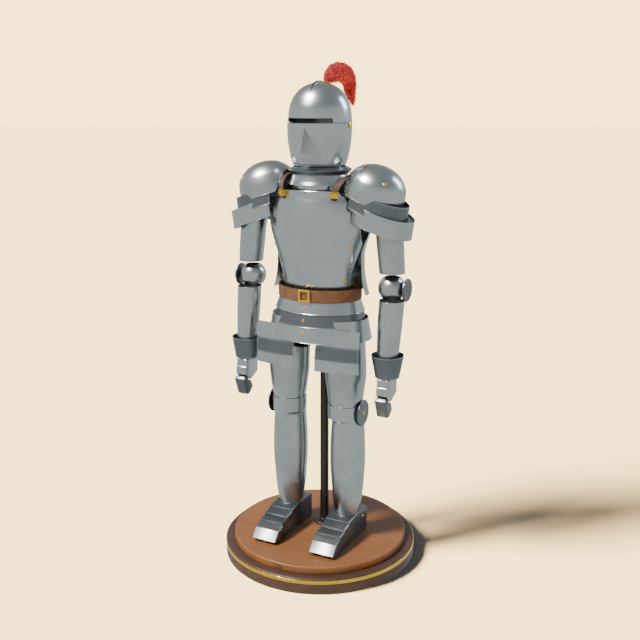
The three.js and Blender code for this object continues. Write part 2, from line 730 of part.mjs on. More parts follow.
function buildArms() {
  addPair('rerebrace', tube(UPPER_ARM.map(round)), 'steel');
  addPair('couter', couterGeometry(), 'steel');
  addPair('vambrace', tube(FOREARM.map(round)), 'steel');
  addPair('gauntlet_cuff', tube(CUFF.map(round)), 'darkSteel');
  addPair('gauntlet_hand', hollowed(HAND_OUTLINE, HAND, 2, WRIST_MOUTH), 'steel');
  addPair('gauntlet_fingers', hollowed(FINGER_OUTLINE, FINGERS, 2, KNUCKLE_MOUTH), 'darkSteel');
}

// ---------------------------------------------------------------- legs
const THIGH = [
  { z: 646, x: 125.5, y: -25, radius: 64 },
  { z: 700, x: 125.5, y: -24, radius: 72 },
  { z: 785, x: 125, y: -23, radius: 80.5 },
  { z: 928, x: 118, y: -18, radius: 78 },
];
const POLEYN = [
  { z: 600, radius: 68 },
  { z: 628, radius: 69.5 },
  { z: 656, radius: 68.2 },
];
const SHIN = [
  { z: 195, x: 130, y: -10, radius: 52, ridge: 2 },
  { z: 300, x: 130, y: -10, radius: 63.5, ridge: 4 },
  { z: 434, x: 130, y: -10, radius: 70.5, ridge: 4 },
  { z: 577, x: 130, y: -10, radius: 64.5, ridge: 2 },
  { z: 603, x: 126, y: -23.5, radius: 62, ridge: 1 },
];

// The top of the thigh plate slants: low between the legs and high at the hip.
const THIGH_CUT = { innerX: 42, innerZ: 865, outerX: 198, outerZ: 927 };
function cuisseGeometry() {
  const { innerX, innerZ, outerX, outerZ } = THIGH_CUT;
  const [run, rise] = [outerX - innerX, outerZ - innerZ];
  const above = block(400, 400, 200, 0, 0, 100).rotateY(-Math.atan2(rise, run))
    .translate((innerX + outerX) / 2, 0, (innerZ + outerZ) / 2);
  return cut(tube(THIGH.map(round)), above);
}

function poleynGeometry() {
  const rows = (inset) => POLEYN.map(({ z, radius }) => (
    round({ ...KNEE, z, radius: radius - inset })));
  const { y, z, inner } = KNEE_WING;
  const post = cylinderBetween(vector(inner - 10, y, z), vector(inner + 1, y, z), 12, 10);
  const bore = tube(rows(WALL), LIMB_SIDES, { wall: 20 });
  return join(tube(rows(0)), cut(join(post, wingDisc(KNEE_WING, inner)), bore));
}

// Side outline of a sabaton's top: heel, ankle, then each lame and the small step below it.
const SABATON_TOP = [
  { y: 72, z: 189 }, { y: 30, z: 193.5 }, { y: -38, z: 193.5 },
  { y: -96, z: 187 }, { y: -103, z: 180 },
  { y: -136, z: 173.5 }, { y: -144, z: 165.5 },
  { y: -178, z: 162.5 }, { y: -187, z: 151.5 },
  { y: -216, z: 141.5 }, { y: -245, z: 107 },
];
const SABATON_SOLE = [{ y: -240, z: 101 }, { y: -206, z: FOOT.sole }, { y: 70, z: FOOT.sole }];
const ANKLE = { y: -10, low: 184, high: 208, radius: 46 };

function sabatonGeometry() {
  const outline = [...SABATON_TOP, ...SABATON_SOLE];
  const shell = hollowed(outline, FOOT, 2.2, {
    y: -66, z: FOOT.sole, depth: 250, height: 8,
  });
  const { y, low, high, radius } = ANKLE;
  const bore = cylinderBetween(
    vector(FOOT.x, y, low - 20), vector(FOOT.x, y, high + 1), radius - WALL, LIMB_SIDES);
  const collar = cylinderBetween(
    vector(FOOT.x, y, low), vector(FOOT.x, y, high), radius, LIMB_SIDES);
  return cut(join(shell, collar), bore);
}

function buildLegs() {
  addPair('cuisse', cuisseGeometry(), 'steel');
  addPair('poleyn', poleynGeometry(), 'steel');
  addPair('greave', tube(SHIN.map(round)), 'steel');
  addPair('sabaton', sabatonGeometry(), 'darkSteel');
}

buildStand();
buildHelmet();
buildPlume();
buildGorget();
buildCuirass();
buildStraps();
buildSkirt();
buildPauldrons();
buildArms();
buildLegs();

export default group;
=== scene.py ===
"""A suit of plate armour on its round display stand.

Sizes are in millimetres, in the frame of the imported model: +Z is up, the suit faces -Y and its
left is +X.
Each plate is made as an outer surface on rounded sections, cut to its outline, given its wall
and a rolled rim, and then turned to a plain mesh in metres.
"""
import math

import bmesh
import bpy
import numpy as np
from mathutils import Matrix, Vector
from mathutils.kdtree import KDTree


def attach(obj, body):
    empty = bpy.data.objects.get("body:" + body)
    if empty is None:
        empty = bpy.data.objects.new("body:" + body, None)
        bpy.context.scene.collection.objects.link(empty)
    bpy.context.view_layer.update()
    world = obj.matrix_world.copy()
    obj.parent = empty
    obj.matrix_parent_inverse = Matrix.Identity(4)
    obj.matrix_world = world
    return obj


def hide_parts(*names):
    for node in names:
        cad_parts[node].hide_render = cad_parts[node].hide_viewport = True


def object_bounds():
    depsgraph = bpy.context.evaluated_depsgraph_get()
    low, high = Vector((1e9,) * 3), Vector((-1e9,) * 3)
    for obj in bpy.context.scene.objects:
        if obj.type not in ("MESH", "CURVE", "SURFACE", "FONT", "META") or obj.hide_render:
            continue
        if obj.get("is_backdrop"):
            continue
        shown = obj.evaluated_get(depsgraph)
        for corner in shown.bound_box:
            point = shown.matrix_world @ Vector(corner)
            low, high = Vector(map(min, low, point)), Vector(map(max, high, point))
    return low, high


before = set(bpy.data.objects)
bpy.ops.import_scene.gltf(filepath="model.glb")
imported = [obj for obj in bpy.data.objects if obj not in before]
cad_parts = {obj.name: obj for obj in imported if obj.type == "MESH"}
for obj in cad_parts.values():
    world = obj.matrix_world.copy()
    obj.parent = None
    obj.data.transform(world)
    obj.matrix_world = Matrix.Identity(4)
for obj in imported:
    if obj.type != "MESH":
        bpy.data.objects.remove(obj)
cad_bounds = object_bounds()

MM = 0.001
WALL = 1.6                   # steel plate
LAP = 2.8                    # how far a lapped plate stands outside the next one
LEATHER = 3.5                # thickness of the belt and straps
RIM = 1.1                    # radius of a rolled edge
FINE_RIM = 1.0
FULL_RIM = 1.2
SMOOTH_ANGLE = 34            # degrees: a sharper fold than this stays a crease
RIDGE_ANGLE = 34             # degrees to each side in which a centre ridge fades out
CREST_ANGLE = 2.4            # degrees to each side of the narrow crest on a ridge
CREST_LIFT = 0.22            # how high the crest is, of the ridge's own height
WELD = 0.02                  # points nearer than this are one point
CUT_WELD = 0.05              # the same along a trimmed border
SLIVER = 0.005               # an edge shorter than this is no edge
UNWORN = 14                  # millimetres from a rim past which nothing is worn


# ------------------------------------------------------------------ materials
AMOUNT, UNDER, OVER, MIXED = 0, 6, 7, 2      # a Mix node's colour sockets: three in, one out


def colour(hex_value):
    """An sRGB hex value as linear RGBA."""
    parts = [((hex_value >> shift) & 255) / 255 for shift in (16, 8, 0)]
    linear = [p / 12.92 if p <= 0.04045 else ((p + 0.055) / 1.055) ** 2.4 for p in parts]
    return (*linear, 1.0)


def per_mm(*sizes):
    """The scale of a pattern whose features are this many millimetres, one size or X, Y and Z."""
    scales = [1 / (size * MM) for size in sizes]
    return scales if len(scales) > 1 else scales[0]


def add_node(tree, kind, sockets=None, **settings):
    """A node with its settings; a socket takes a value, an output, or a node's first output."""
    made = tree.nodes.new(kind)
    for key, value in settings.items():
        setattr(made, key, value)
    for key, value in (sockets or {}).items():
        if isinstance(value, bpy.types.Node):
            value = value.outputs[0]
        if isinstance(value, bpy.types.NodeSocket):
            tree.links.new(value, made.inputs[key])
        else:
            made.inputs[key].default_value = value
    return made


def start_material(name):
    """An empty material, its node tree and its Object coordinates."""
    material = bpy.data.materials.new(name)
    material.use_nodes = True
    tree = material.node_tree
    tree.nodes.clear()
    return material, tree, add_node(tree, "ShaderNodeTexCoord").outputs["Object"]


def coated(tree, base, *coats):
    """A base colour under thin coats, each given as where it lies, how thick and its colour."""
    tone = colour(base)
    for place, thickness, tint in coats:
        amount = add_node(tree, "ShaderNodeMath", {0: place, 1: thickness}, operation="MULTIPLY")
        tone = add_node(tree, "ShaderNodeMix", {
            AMOUNT: amount, UNDER: tone, OVER: colour(tint)}, data_type="RGBA").outputs[MIXED]
    return tone


def close_material(tree, sockets):
    """Ends a tree in its Principled shader, with each socket set or linked."""
    shader = add_node(tree, "ShaderNodeBsdfPrincipled", sockets)
    add_node(tree, "ShaderNodeOutputMaterial", {"Surface": shader})


def steel(name, base, stain, rough):
    """Wrought steel plate, planished by hammer and then brushed round. That gives the eye soft
    broad reflections, a faint ripple every 26 mm, hairlines that run round each plate, rims
    worn brighter and clouds of old tarnish. Hairlines are drawn coarser than the real 0.1 mm."""
    material, tree, coords = start_material(name)
    rim = add_node(tree, "ShaderNodeAttribute", attribute_name="rim_mm")
    worn = add_node(tree, "ShaderNodeMapRange", {
        "Value": rim.outputs["Fac"], "From Min": 0.5, "From Max": 7.0,
        "To Min": 1.0, "To Max": 0.0})
    clouds = add_node(tree, "ShaderNodeTexNoise", {
        "Vector": coords, "Scale": per_mm(130), "Detail": 3.0})
    tarnish = add_node(tree, "ShaderNodeMapRange", {
        "Value": clouds, "From Min": 0.42, "From Max": 0.72})
    brushed = add_node(tree, "ShaderNodeMapping", {
        "Vector": coords, "Scale": per_mm(23.4, 23.4, 0.9)})
    hairlines = add_node(tree, "ShaderNodeTexNoise", {"Vector": brushed, "Scale": 1.0})
    filed = add_node(tree, "ShaderNodeMapping", {
        "Vector": coords, "Scale": per_mm(1.6, 14.4, 35.2)})
    file_noise = add_node(tree, "ShaderNodeTexNoise", {
        "Vector": filed, "Scale": 1.0, "Detail": 1.0})
    file_marks = add_node(tree, "ShaderNodeMapRange", {
        "Value": file_noise, "From Min": 0.68, "From Max": 0.74})
    tone = coated(tree, base, (tarnish, 0.45, stain), (hairlines, 0.10, stain),
                  (file_marks, 0.16, 0xC9CECE), (worn, 0.35, 0xB4BCC0))
    for place, change in ((hairlines, 0.07), (tarnish, 0.10), (worn, -0.05)):
        rough = add_node(tree, "ShaderNodeMath", {0: place, 1: change, 2: rough},
                         operation="MULTIPLY_ADD")
    hammered = add_node(tree, "ShaderNodeTexNoise", {
        "Vector": coords, "Scale": per_mm(26), "Detail": 1.0})
    ripple = add_node(tree, "ShaderNodeBump", {
        "Height": hammered, "Distance": 0.5 * MM, "Strength": 0.1})
    relief = add_node(tree, "ShaderNodeBump", {
        "Height": hairlines, "Distance": 0.02 * MM, "Strength": 0.3, "Normal": ripple})
    close_material(tree, {
        "Base Color": tone, "Metallic": 1.0, "Roughness": rough, "Normal": relief})
    return material


def brass(name):
    """Cast brass, filed and polished. That gives the eye a warm yellow with small bright
    glints, a little browner and rougher where it has dulled."""
    material, tree, coords = start_material(name)
    clouds = add_node(tree, "ShaderNodeTexNoise", {
        "Vector": coords, "Scale": per_mm(14), "Detail": 3.0})
    dull = add_node(tree, "ShaderNodeMapRange", {
        "Value": clouds, "From Min": 0.4, "From Max": 0.75, "To Max": 0.7})
    rough = add_node(tree, "ShaderNodeMapRange", {
        "Value": dull, "From Max": 0.7, "To Min": 0.18, "To Max": 0.34})
    cast = add_node(tree, "ShaderNodeTexNoise", {"Vector": coords, "Scale": per_mm(2.5)})
    relief = add_node(tree, "ShaderNodeBump", {
        "Height": cast, "Distance": 0.06 * MM, "Strength": 0.5})
    close_material(tree, {
        "Base Color": coated(tree, 0xFFC94C, (dull, 1.0, 0xE8AA34)), "Metallic": 1.0,
        "Roughness": rough, "Normal": relief})
    return material


def leather(name):
    """Vegetable-tanned cowhide, cut in straps and waxed. That gives the eye a matt brown with
    pebbled grain 1.3 mm across, fine creases, paler worn patches and dark burnished edges."""
    material, tree, coords = start_material(name)
    cells = add_node(tree, "ShaderNodeTexVoronoi", {
        "Vector": coords, "Scale": per_mm(1.3)}, feature="DISTANCE_TO_EDGE")
    furrows = add_node(tree, "ShaderNodeMapRange", {
        "Value": cells.outputs["Distance"], "From Max": 0.25, "To Min": 1.0, "To Max": 0.0})
    patches = add_node(tree, "ShaderNodeTexNoise", {
        "Vector": coords, "Scale": per_mm(34), "Detail": 4.0})
    worn = add_node(tree, "ShaderNodeMapRange", {
        "Value": patches, "From Min": 0.35, "From Max": 0.7})
    rim = add_node(tree, "ShaderNodeAttribute", attribute_name="rim_mm")
    edge = add_node(tree, "ShaderNodeMapRange", {
        "Value": rim.outputs["Fac"], "From Min": 0.4, "From Max": 3.0,
        "To Min": 1.0, "To Max": 0.0})
    tone = coated(tree, 0x472B1C, (worn, 1.0, 0x573824), (furrows, 0.35, 0x3E2415),
                  (edge, 0.75, 0x2E1A10))
    rough = add_node(tree, "ShaderNodeMapRange", {"Value": worn, "To Min": 0.54, "To Max": 0.68})
    grain = add_node(tree, "ShaderNodeBump", {
        "Height": furrows, "Distance": -0.18 * MM, "Strength": 0.6})
    bent = add_node(tree, "ShaderNodeMapping", {"Vector": coords, "Scale": per_mm(7, 7, 1.75)})
    creases = add_node(tree, "ShaderNodeTexNoise", {"Vector": bent, "Scale": 1.0, "Detail": 3.0})
    relief = add_node(tree, "ShaderNodeBump", {
        "Height": creases, "Distance": 0.4 * MM, "Strength": 0.35, "Normal": grain})
    close_material(tree, {"Base Color": tone, "Roughness": rough, "Normal": relief})
    return material


def feather(name):
    """Ostrich feather, dyed. That gives the eye a matt red with a soft sheen, in clumps 16 mm
    across, with painted shade: each barb is darker towards its root and lighter at its tip."""
    material, tree, coords = start_material(name)
    tip = add_node(tree, "ShaderNodeAttribute", attribute_name="barb")
    bunches = add_node(tree, "ShaderNodeTexNoise", {
        "Vector": coords, "Scale": per_mm(16), "Detail": 3.0})
    clump = add_node(tree, "ShaderNodeMapRange", {
        "Value": bunches, "From Min": 0.35, "From Max": 0.7})
    # Painted shade: each barb is darker towards its root and lightest at its tip.
    tone = coated(tree, 0x780A14, (tip.outputs["Fac"], 1.0, 0xC72A40), (clump, 0.55, 0x9C1226))
    down = add_node(tree, "ShaderNodeTexNoise", {"Vector": coords, "Scale": per_mm(1.5)})
    relief = add_node(tree, "ShaderNodeBump", {
        "Height": down, "Distance": 0.5 * MM, "Strength": 0.5})
    close_material(tree, {
        "Base Color": tone, "Roughness": 0.8, "Sheen Weight": 0.12, "Sheen Roughness": 0.4,
        "Normal": relief})
    return material


def wood(name, light, dark, pore, rough, board):
    """Hardwood planks along X, planed, glued edge to edge and finished thinly. That gives the
    eye long growth lines about 8 mm apart, short dark pores, fine joints between the boards
    and a satin face. Pores are drawn coarser than the real 0.3 mm."""
    material, tree, coords = start_material(name)
    along = {}
    for pattern, sizes, detail, uneven in (
            ("shade", (450, 90, 90), 2.0, 0.5), ("growth", (315, 7.5, 7.5), 3.0, 0.6),
            ("streak", (364, 26, 26), 2.0, 0.5), ("pores", (21.6, 0.9, 0.9), 1.0, 0.5)):
        sawn = add_node(tree, "ShaderNodeMapping", {"Vector": coords, "Scale": per_mm(*sizes)})
        along[pattern] = add_node(tree, "ShaderNodeTexNoise", {
            "Vector": sawn, "Scale": 1.0, "Detail": detail, "Roughness": uneven})
    shade = add_node(tree, "ShaderNodeMapRange", {
        "Value": along["shade"], "From Min": 0.35, "From Max": 0.7})
    lines = add_node(tree, "ShaderNodeMapRange", {
        "Value": along["growth"], "From Min": 0.35, "From Max": 0.68})
    pores = add_node(tree, "ShaderNodeMapRange", {
        "Value": along["pores"], "From Min": 0.62, "From Max": 0.7})
    across = add_node(tree, "ShaderNodeSeparateXYZ", {"Vector": coords}).outputs["Y"]
    boards = add_node(tree, "ShaderNodeMath", {0: across, 1: per_mm(board)},
                      operation="MULTIPLY")
    place = add_node(tree, "ShaderNodeMath", {0: boards}, operation="FRACT")
    centred = add_node(tree, "ShaderNodeMath", {0: place, 1: 0.5}, operation="SUBTRACT")
    off_middle = add_node(tree, "ShaderNodeMath", {0: centred}, operation="ABSOLUTE")
    joint = add_node(tree, "ShaderNodeMapRange", {
        "Value": off_middle, "From Min": 0.493, "From Max": 0.499})
    tone = coated(tree, light, (lines, 1.0, dark), (along["streak"], 0.5, light),
                  (shade, 0.4, dark), (pores, 0.35, pore), (joint, 0.6, pore))
    satin = add_node(tree, "ShaderNodeMapRange", {
        "Value": along["growth"], "From Min": 0.3, "From Max": 0.7,
        "To Min": rough, "To Max": rough + 0.14})
    open_grain = add_node(tree, "ShaderNodeBump", {
        "Height": pores, "Distance": -0.12 * MM, "Strength": 0.5})
    relief = add_node(tree, "ShaderNodeBump", {
        "Height": joint, "Distance": -0.18 * MM, "Strength": 0.5, "Normal": open_grain})
    close_material(tree, {
        "Base Color": tone, "Roughness": satin, "Coat Weight": 0.1, "Coat Roughness": 0.3,
        "Normal": relief})
    return material


def black_steel(name):
    """Steel tube with a baked powder coat. That gives the eye a satin black with fine orange
    peel 1.4 mm across and a little dust."""
    material, tree, coords = start_material(name)
    dust = add_node(tree, "ShaderNodeTexNoise", {
        "Vector": coords, "Scale": per_mm(30), "Detail": 4.0})
    rough = add_node(tree, "ShaderNodeMapRange", {
        "Value": dust, "From Min": 0.3, "From Max": 0.7, "To Min": 0.32, "To Max": 0.5})
    peel = add_node(tree, "ShaderNodeTexNoise", {
        "Vector": coords, "Scale": per_mm(1.4), "Detail": 1.0})
    relief = add_node(tree, "ShaderNodeBump", {
        "Height": peel, "Distance": 0.05 * MM, "Strength": 0.5})
    close_material(tree, {
        "Base Color": coated(tree, 0x0D0C0B, (dust, 1.0, 0x191714)), "Roughness": rough,
        "Coat Weight": 0.2, "Normal": relief})
    return material


STEEL = steel("planished_bright_steel", 0xBAC0C0, 0x8F9495, 0.21)
DARK_STEEL = steel("blued_dark_steel", 0x747A7D, 0x555A5D, 0.28)
BRASS = brass("polished_brass")
LEATHER_FINISH = leather("waxed_cowhide")
FEATHER = feather("dyed_ostrich_feather")
BEECH = wood("oiled_beech", 0x734824, 0x5D381B, 0x3A2210, 0.44, board=176)
OAK = wood("stained_oak", 0x3E281E, 0x2A1A12, 0x1B100A, 0.40, board=2000)   # no joint shows
BLACK = black_steel("powder_coated_steel")


# ------------------------------------------------------------------ sections
def table(columns, *rows):
    """Rows of numbers under named columns."""
    names = columns.split()
    return [dict(zip(names, row)) for row in rows]


def smooth_through(x, y, at):
    """A curve through the points (x, y) that never swings past them."""
    step = np.diff(x)
    rise = np.diff(y) / step
    slope = np.zeros(len(x))
    slope[0], slope[-1] = rise[0], rise[-1]
    for k in range(1, len(x) - 1):
        if rise[k - 1] * rise[k] > 0:
            a, b = 2 * step[k] + step[k - 1], step[k] + 2 * step[k - 1]
            slope[k] = (a + b) / (a / rise[k - 1] + b / rise[k])
    k = np.clip(np.searchsorted(x, at) - 1, 0, len(x) - 2)
    t = (at - x[k]) / step[k]
    return (y[k] * (1 + 2 * t) * (1 - t) ** 2 + y[k + 1] * t * t * (3 - 2 * t)
            + step[k] * (slope[k] * t * (1 - t) ** 2 + slope[k + 1] * t * t * (t - 1)))


def fill(section, defaults):
    """A section with every column stated: a round one may give only its radius."""
    full = {**defaults, **section}
    if "radius" in full:
        full = {**full, "side": full["radius"], "front": full["radius"]}
    full.setdefault("back", full["front"])
    return full


COLUMNS = ("z", "x", "y", "side", "front", "back", "ridge", "start", "end")


def fine_sections(rows, count, straight=False):
    """The table's sections drawn out to count steps, as one array for each column: on smooth
    curves, or straight from row to row."""
    full = [fill(row, {"x": 0, "y": 0, "ridge": 0, "start": -180, "end": 180}) for row in rows]
    values = {name: np.array([row[name] for row in full], float) for name in COLUMNS}
    reach = np.hypot(np.diff(values["z"]), np.maximum(
        abs(np.diff(values["side"])), abs(np.diff(values["front"]))))
    along = np.concatenate([[0], np.cumsum(reach)])
    at = np.union1d(np.linspace(0, along[-1], count + 1), along if straight else [])
    if straight:
        return {name: np.interp(at, along, column) for name, column in values.items()}
    return {name: smooth_through(along, column, at) for name, column in values.items()}


def oval_grid(s, columns):
    """Points on the sections: angle 0 is the front (-Y) and 90 the figure's left (+X)."""
    t = np.linspace(0, 1, columns + 1)
    angle = s["start"][:, None] + (s["end"] - s["start"])[:, None] * t
    turn = np.radians(angle)
    facing = np.cos(turn)
    depth = np.where(facing > 0, s["front"][:, None], s["back"][:, None])
    keel = s["ridge"][:, None] * (np.clip(1 - abs(angle) / RIDGE_ANGLE, 0, 1)
                                  + CREST_LIFT * np.clip(1 - abs(angle) / CREST_ANGLE, 0, 1))
    return np.stack([
        s["x"][:, None] + s["side"][:, None] * np.sin(turn),
        s["y"][:, None] - depth * facing - keel,
        np.broadcast_to(s["z"][:, None], angle.shape),
    ], -1)


def oval(rows, count, columns, straight=False):
    """The outer surface through a table's sections, in count steps up and columns round."""
    return oval_grid(fine_sections(rows, count, straight), columns)


def grid_faces(rows, columns):
    at = np.arange(rows * columns).reshape(rows, columns)
    quads = np.stack([at[:-1, :-1], at[:-1, 1:], at[1:, 1:], at[1:, :-1]], -1)
    return quads.reshape(-1, 4)


def lathe(profile, sides):
    """A closed turned surface about the Z axis, from (radius, z) pairs in order."""
    turn = np.radians(np.linspace(0, 360, sides + 1))
    profile = np.array(profile, float)
    return np.stack([profile[:, :1] * np.sin(turn), -profile[:, :1] * np.cos(turn),
                     np.repeat(profile[:, 1:], sides + 1, 1)], -1)


def rounded(profile, radius=2.0, steps=4):
    """A profile with its corners turned to small arcs; the two ends stay."""
    points = [np.array(p, float) for p in profile]
    result = [points[0]]
    for before, corner, after in zip(points, points[1:], points[2:]):
        a, b = before - corner, after - corner
        size = min(radius, 0.45 * np.linalg.norm(a), 0.45 * np.linalg.norm(b))
        a, b = corner + a / np.linalg.norm(a) * size, corner + b / np.linalg.norm(b) * size
        for k in range(steps + 1):
            t = k / steps
            result.append((1 - t) ** 2 * a + 2 * t * (1 - t) * corner + t * t * b)
    return result + [points[-1]]


# ------------------------------------------------------------------ meshes
def surface_from(grids):
    """One surface from grids of points, welded where they meet."""
    bm = bmesh.new()
    for grid in grids:
        rows, columns = grid.shape[:2]
        verts = [bm.verts.new(p) for p in grid.reshape(-1, 3)]
        for face in grid_faces(rows, columns):
            bm.faces.new([verts[k] for k in face])
    bmesh.ops.remove_doubles(bm, verts=bm.verts, dist=WELD)
    bmesh.ops.dissolve_degenerate(bm, edges=bm.edges, dist=SLIVER)
    return bm


def trim(bm, keep):
    """Cuts the surface where keep(point) is 0 and drops the side where it is negative."""
    cut, touching = [], 1e-4
    for edge in list(bm.edges):
        a, b = (keep(v.co) for v in edge.verts)
        if a * b < 0 and min(abs(a), abs(b)) > touching:
            cut.append(bmesh.utils.edge_split(edge, edge.verts[0], a / (a - b))[1])
    bmesh.ops.connect_verts(bm, verts=cut)
    doomed = [f for f in bm.faces if keep(f.calc_center_median()) < 0]
    bmesh.ops.delete(bm, geom=doomed, context="FACES")
    bmesh.ops.remove_doubles(bm, verts=bm.verts, dist=CUT_WELD)


def border_runs(bm, wanted):
    """Runs of border vertices that wanted() accepts, in order, each with its closed flag."""
    bm.normal_update()
    links = {}
    for edge in bm.edges:
        if edge.is_boundary and all(wanted(v.co) for v in edge.verts):
            a, b = edge.verts
            links.setdefault(a, []).append(b)
            links.setdefault(b, []).append(a)
    seen = set()
    starts = [v for v, near in links.items() if len(near) == 1] + list(links)
    for start in starts:
        if start in seen:
            continue
        run, at = [start], start
        seen.add(start)
        while True:
            onward = [v for v in links[at] if v not in seen]
            if not onward:
                break
            at = onward[0]
            seen.add(at)
            run.append(at)
        if len(run) > 2:
            closed = start in links[at] and len(links[start]) == 2
            yield [(v.co.copy(), v.normal.copy()) for v in run], closed


def sweep(run, closed, radius, sides=8, sink=WALL / 2):
    """A round bead along a run of points, its centre sunk into the plate by half a wall."""
    points = np.array([p - n * sink for p, n in run])
    outward = np.array([n for _, n in run])
    if closed:
        tangent = np.roll(points, -1, 0) - np.roll(points, 1, 0)
    else:
        tangent = np.gradient(points, axis=0)
    tangent /= np.linalg.norm(tangent, axis=1)[:, None] + 1e-9
    outward -= (outward * tangent).sum(1)[:, None] * tangent
    outward /= np.linalg.norm(outward, axis=1)[:, None] + 1e-9
    across = np.cross(tangent, outward)
    turn = np.linspace(0, 2 * np.pi, sides, endpoint=False)
    rings = (points[:, None] + radius * np.cos(turn)[None, :, None] * outward[:, None]
             + radius * np.sin(turn)[None, :, None] * across[:, None])
    count = len(points)
    verts = rings.reshape(-1, 3)
    faces = []
    for i in range(count if closed else count - 1):
        for j in range(sides):
            k = (j + 1) % sides
            n = (i + 1) % count
            faces.append((i * sides + j, i * sides + k, n * sides + k, n * sides + j))
    if not closed:
        faces.append(tuple(range(sides - 1, -1, -1)))
        faces.append(tuple(range((count - 1) * sides, count * sides)))
    return verts, faces


def add_verts(bm, verts, faces):
    """Adds a part to the bmesh and gives back its new faces."""
    made = [bm.verts.new(v) for v in verts]
    return [bm.faces.new([made[k] for k in face]) for face in faces]


def mirrored(bm):
    """The same piece for the suit's right side."""
    other = bm.copy()
    for v in other.verts:
        v.co.x = -v.co.x
    bmesh.ops.reverse_faces(other, faces=other.faces)
    return other


def placed(name, mesh, slot, smooth):
    """A mesh as a shown object that rides on the one body."""
    mesh.shade_smooth()
    mesh.set_sharp_from_angle(angle=math.radians(smooth))
    made = bpy.data.objects.new(name, mesh)
    bpy.context.scene.collection.objects.link(made)
    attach(made, "root")
    return made


def evaluated_mesh(holder):
    """The object's mesh with its modifier applied; the object itself goes."""
    graph = bpy.context.evaluated_depsgraph_get()
    mesh = bpy.data.meshes.new_from_object(holder.evaluated_get(graph))
    bpy.data.objects.remove(holder)
    return mesh


def thicken(bm, wall):
    """Gives an open surface its wall, behind it, with closed rims."""
    mesh = bpy.data.meshes.new("surface")
    bm.to_mesh(mesh)
    holder = bpy.data.objects.new("surface", mesh)
    bpy.context.scene.collection.objects.link(holder)
    solidify = holder.modifiers.new("wall", "SOLIDIFY")
    solidify.thickness = wall
    solidify.offset = -1
    solidify.use_even_offset = True
    solidify.use_quality_normals = True
    baked = evaluated_mesh(holder)
    bm.clear()
    bm.from_mesh(baked)
    bpy.data.meshes.remove(mesh)
    bpy.data.meshes.remove(baked)


def rim_layer(bm):
    """Where each point keeps how far it is from the nearest rim."""
    return bm.verts.layers.float.get("rim_mm") or bm.verts.layers.float.new("rim_mm")


def mark_rims(bm):
    """Stores on each point how far the nearest border is, for the wear along the rims."""
    layer = rim_layer(bm)
    border = [v.co for v in bm.verts if v.is_boundary]
    tree = KDTree(max(len(border), 1))
    for k, point in enumerate(border):
        tree.insert(point, k)
    tree.balance()
    for v in bm.verts:
        v[layer] = min(tree.find(v.co)[2], UNWORN) if border else UNWORN


def plate_shell(grids, wall=WALL, rim=RIM, rolled=lambda p: True, keep=None, extra=()):
    """A plate from its outer surface: trimmed, rims marked, wall added, edges rolled.
    extra holds closed parts, as (verts, faces), that are one with the plate and get the second
    finish."""
    bm = surface_from(grids)
    if keep:
        trim(bm, keep)
    mark_rims(bm)
    beads = [sweep(run, closed, rim, sink=wall / 2)
             for run, closed in border_runs(bm, rolled)] if rim else []
    thicken(bm, wall)
    layer = rim_layer(bm)
    for verts, faces in beads:
        for face in add_verts(bm, verts, faces):
            for v in face.verts:
                v[layer] = 0
    for verts, faces in extra:
        for face in add_verts(bm, verts, faces):
            face.material_index = 1
            for v in face.verts:
                v[layer] = UNWORN
    return bm


def closed_shape(grid_or_parts):
    """A closed part from one lathe grid or from (verts, faces) parts."""
    if isinstance(grid_or_parts, np.ndarray):
        bm = surface_from([grid_or_parts])
    else:
        bm = bmesh.new()
        for verts, faces in grid_or_parts:
            add_verts(bm, verts, faces)
    layer = rim_layer(bm)
    for v in bm.verts:
        v[layer] = UNWORN
    return bm


def piece(name, bm, material, slot, smooth=SMOOTH_ANGLE):
    """A finished piece in metres that stands for the node of its name. A pair of materials
    gives the faces marked 1 the second finish."""
    mesh = bpy.data.meshes.new(name)
    bmesh.ops.triangulate(bm, faces=[f for f in bm.faces if len(f.verts) > 4])
    bm.to_mesh(mesh)
    bm.free()
    mesh.transform(Matrix.Scale(MM, 4))
    for finish in material if isinstance(material, tuple) else (material,):
        mesh.materials.append(finish)
    made = placed(name, mesh, slot, smooth)
    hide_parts(name)


def pair(name, bm, material, slot, smooth=SMOOTH_ANGLE):
    """The left-hand piece and its mirror image on the right."""
    other = mirrored(bm)
    piece(f"{name}_left", bm, material, slot, smooth)
    piece(f"{name}_right", other, material, slot, smooth)


BEVEL_ANGLE = 20             # degrees: a flatter fold than this isn't rounded off


def parts_of(bm):
    """The bmesh as one (verts, faces) part."""
    bm.verts.index_update()
    return [v.co.copy() for v in bm.verts], [tuple(v.index for v in f.verts) for f in bm.faces]


def bevelled(verts, faces, width, segments=2):
    """A closed part with its edges rounded off."""
    bm = bmesh.new()
    add_verts(bm, verts, faces)
    bmesh.ops.remove_doubles(bm, verts=bm.verts, dist=SLIVER)
    bmesh.ops.recalc_face_normals(bm, faces=bm.faces)
    sharp = [e for e in bm.edges if e.calc_face_angle(0) > math.radians(BEVEL_ANGLE)]
    bmesh.ops.bevel(bm, geom=sharp, offset=width, segments=segments, affect="EDGES", profile=0.5)
    part = parts_of(bm)
    bm.free()
    return part


def box_part(centre, size, bevel, turn=Matrix.Identity(3)):
    """A block with rounded edges, about its centre, turned by a matrix."""
    corners = [np.array(((k & 1) - 0.5, ((k >> 1) & 1) - 0.5, (k >> 2) - 0.5)) * size
               for k in range(8)]
    faces = [(0, 2, 3, 1), (4, 5, 7, 6), (0, 1, 5, 4), (2, 6, 7, 3), (0, 4, 6, 2), (1, 3, 7, 5)]
    verts = [Vector(c) for c in corners]
    verts, faces = bevelled(verts, faces, bevel)
    return [turn @ v + Vector(centre) for v in verts], faces


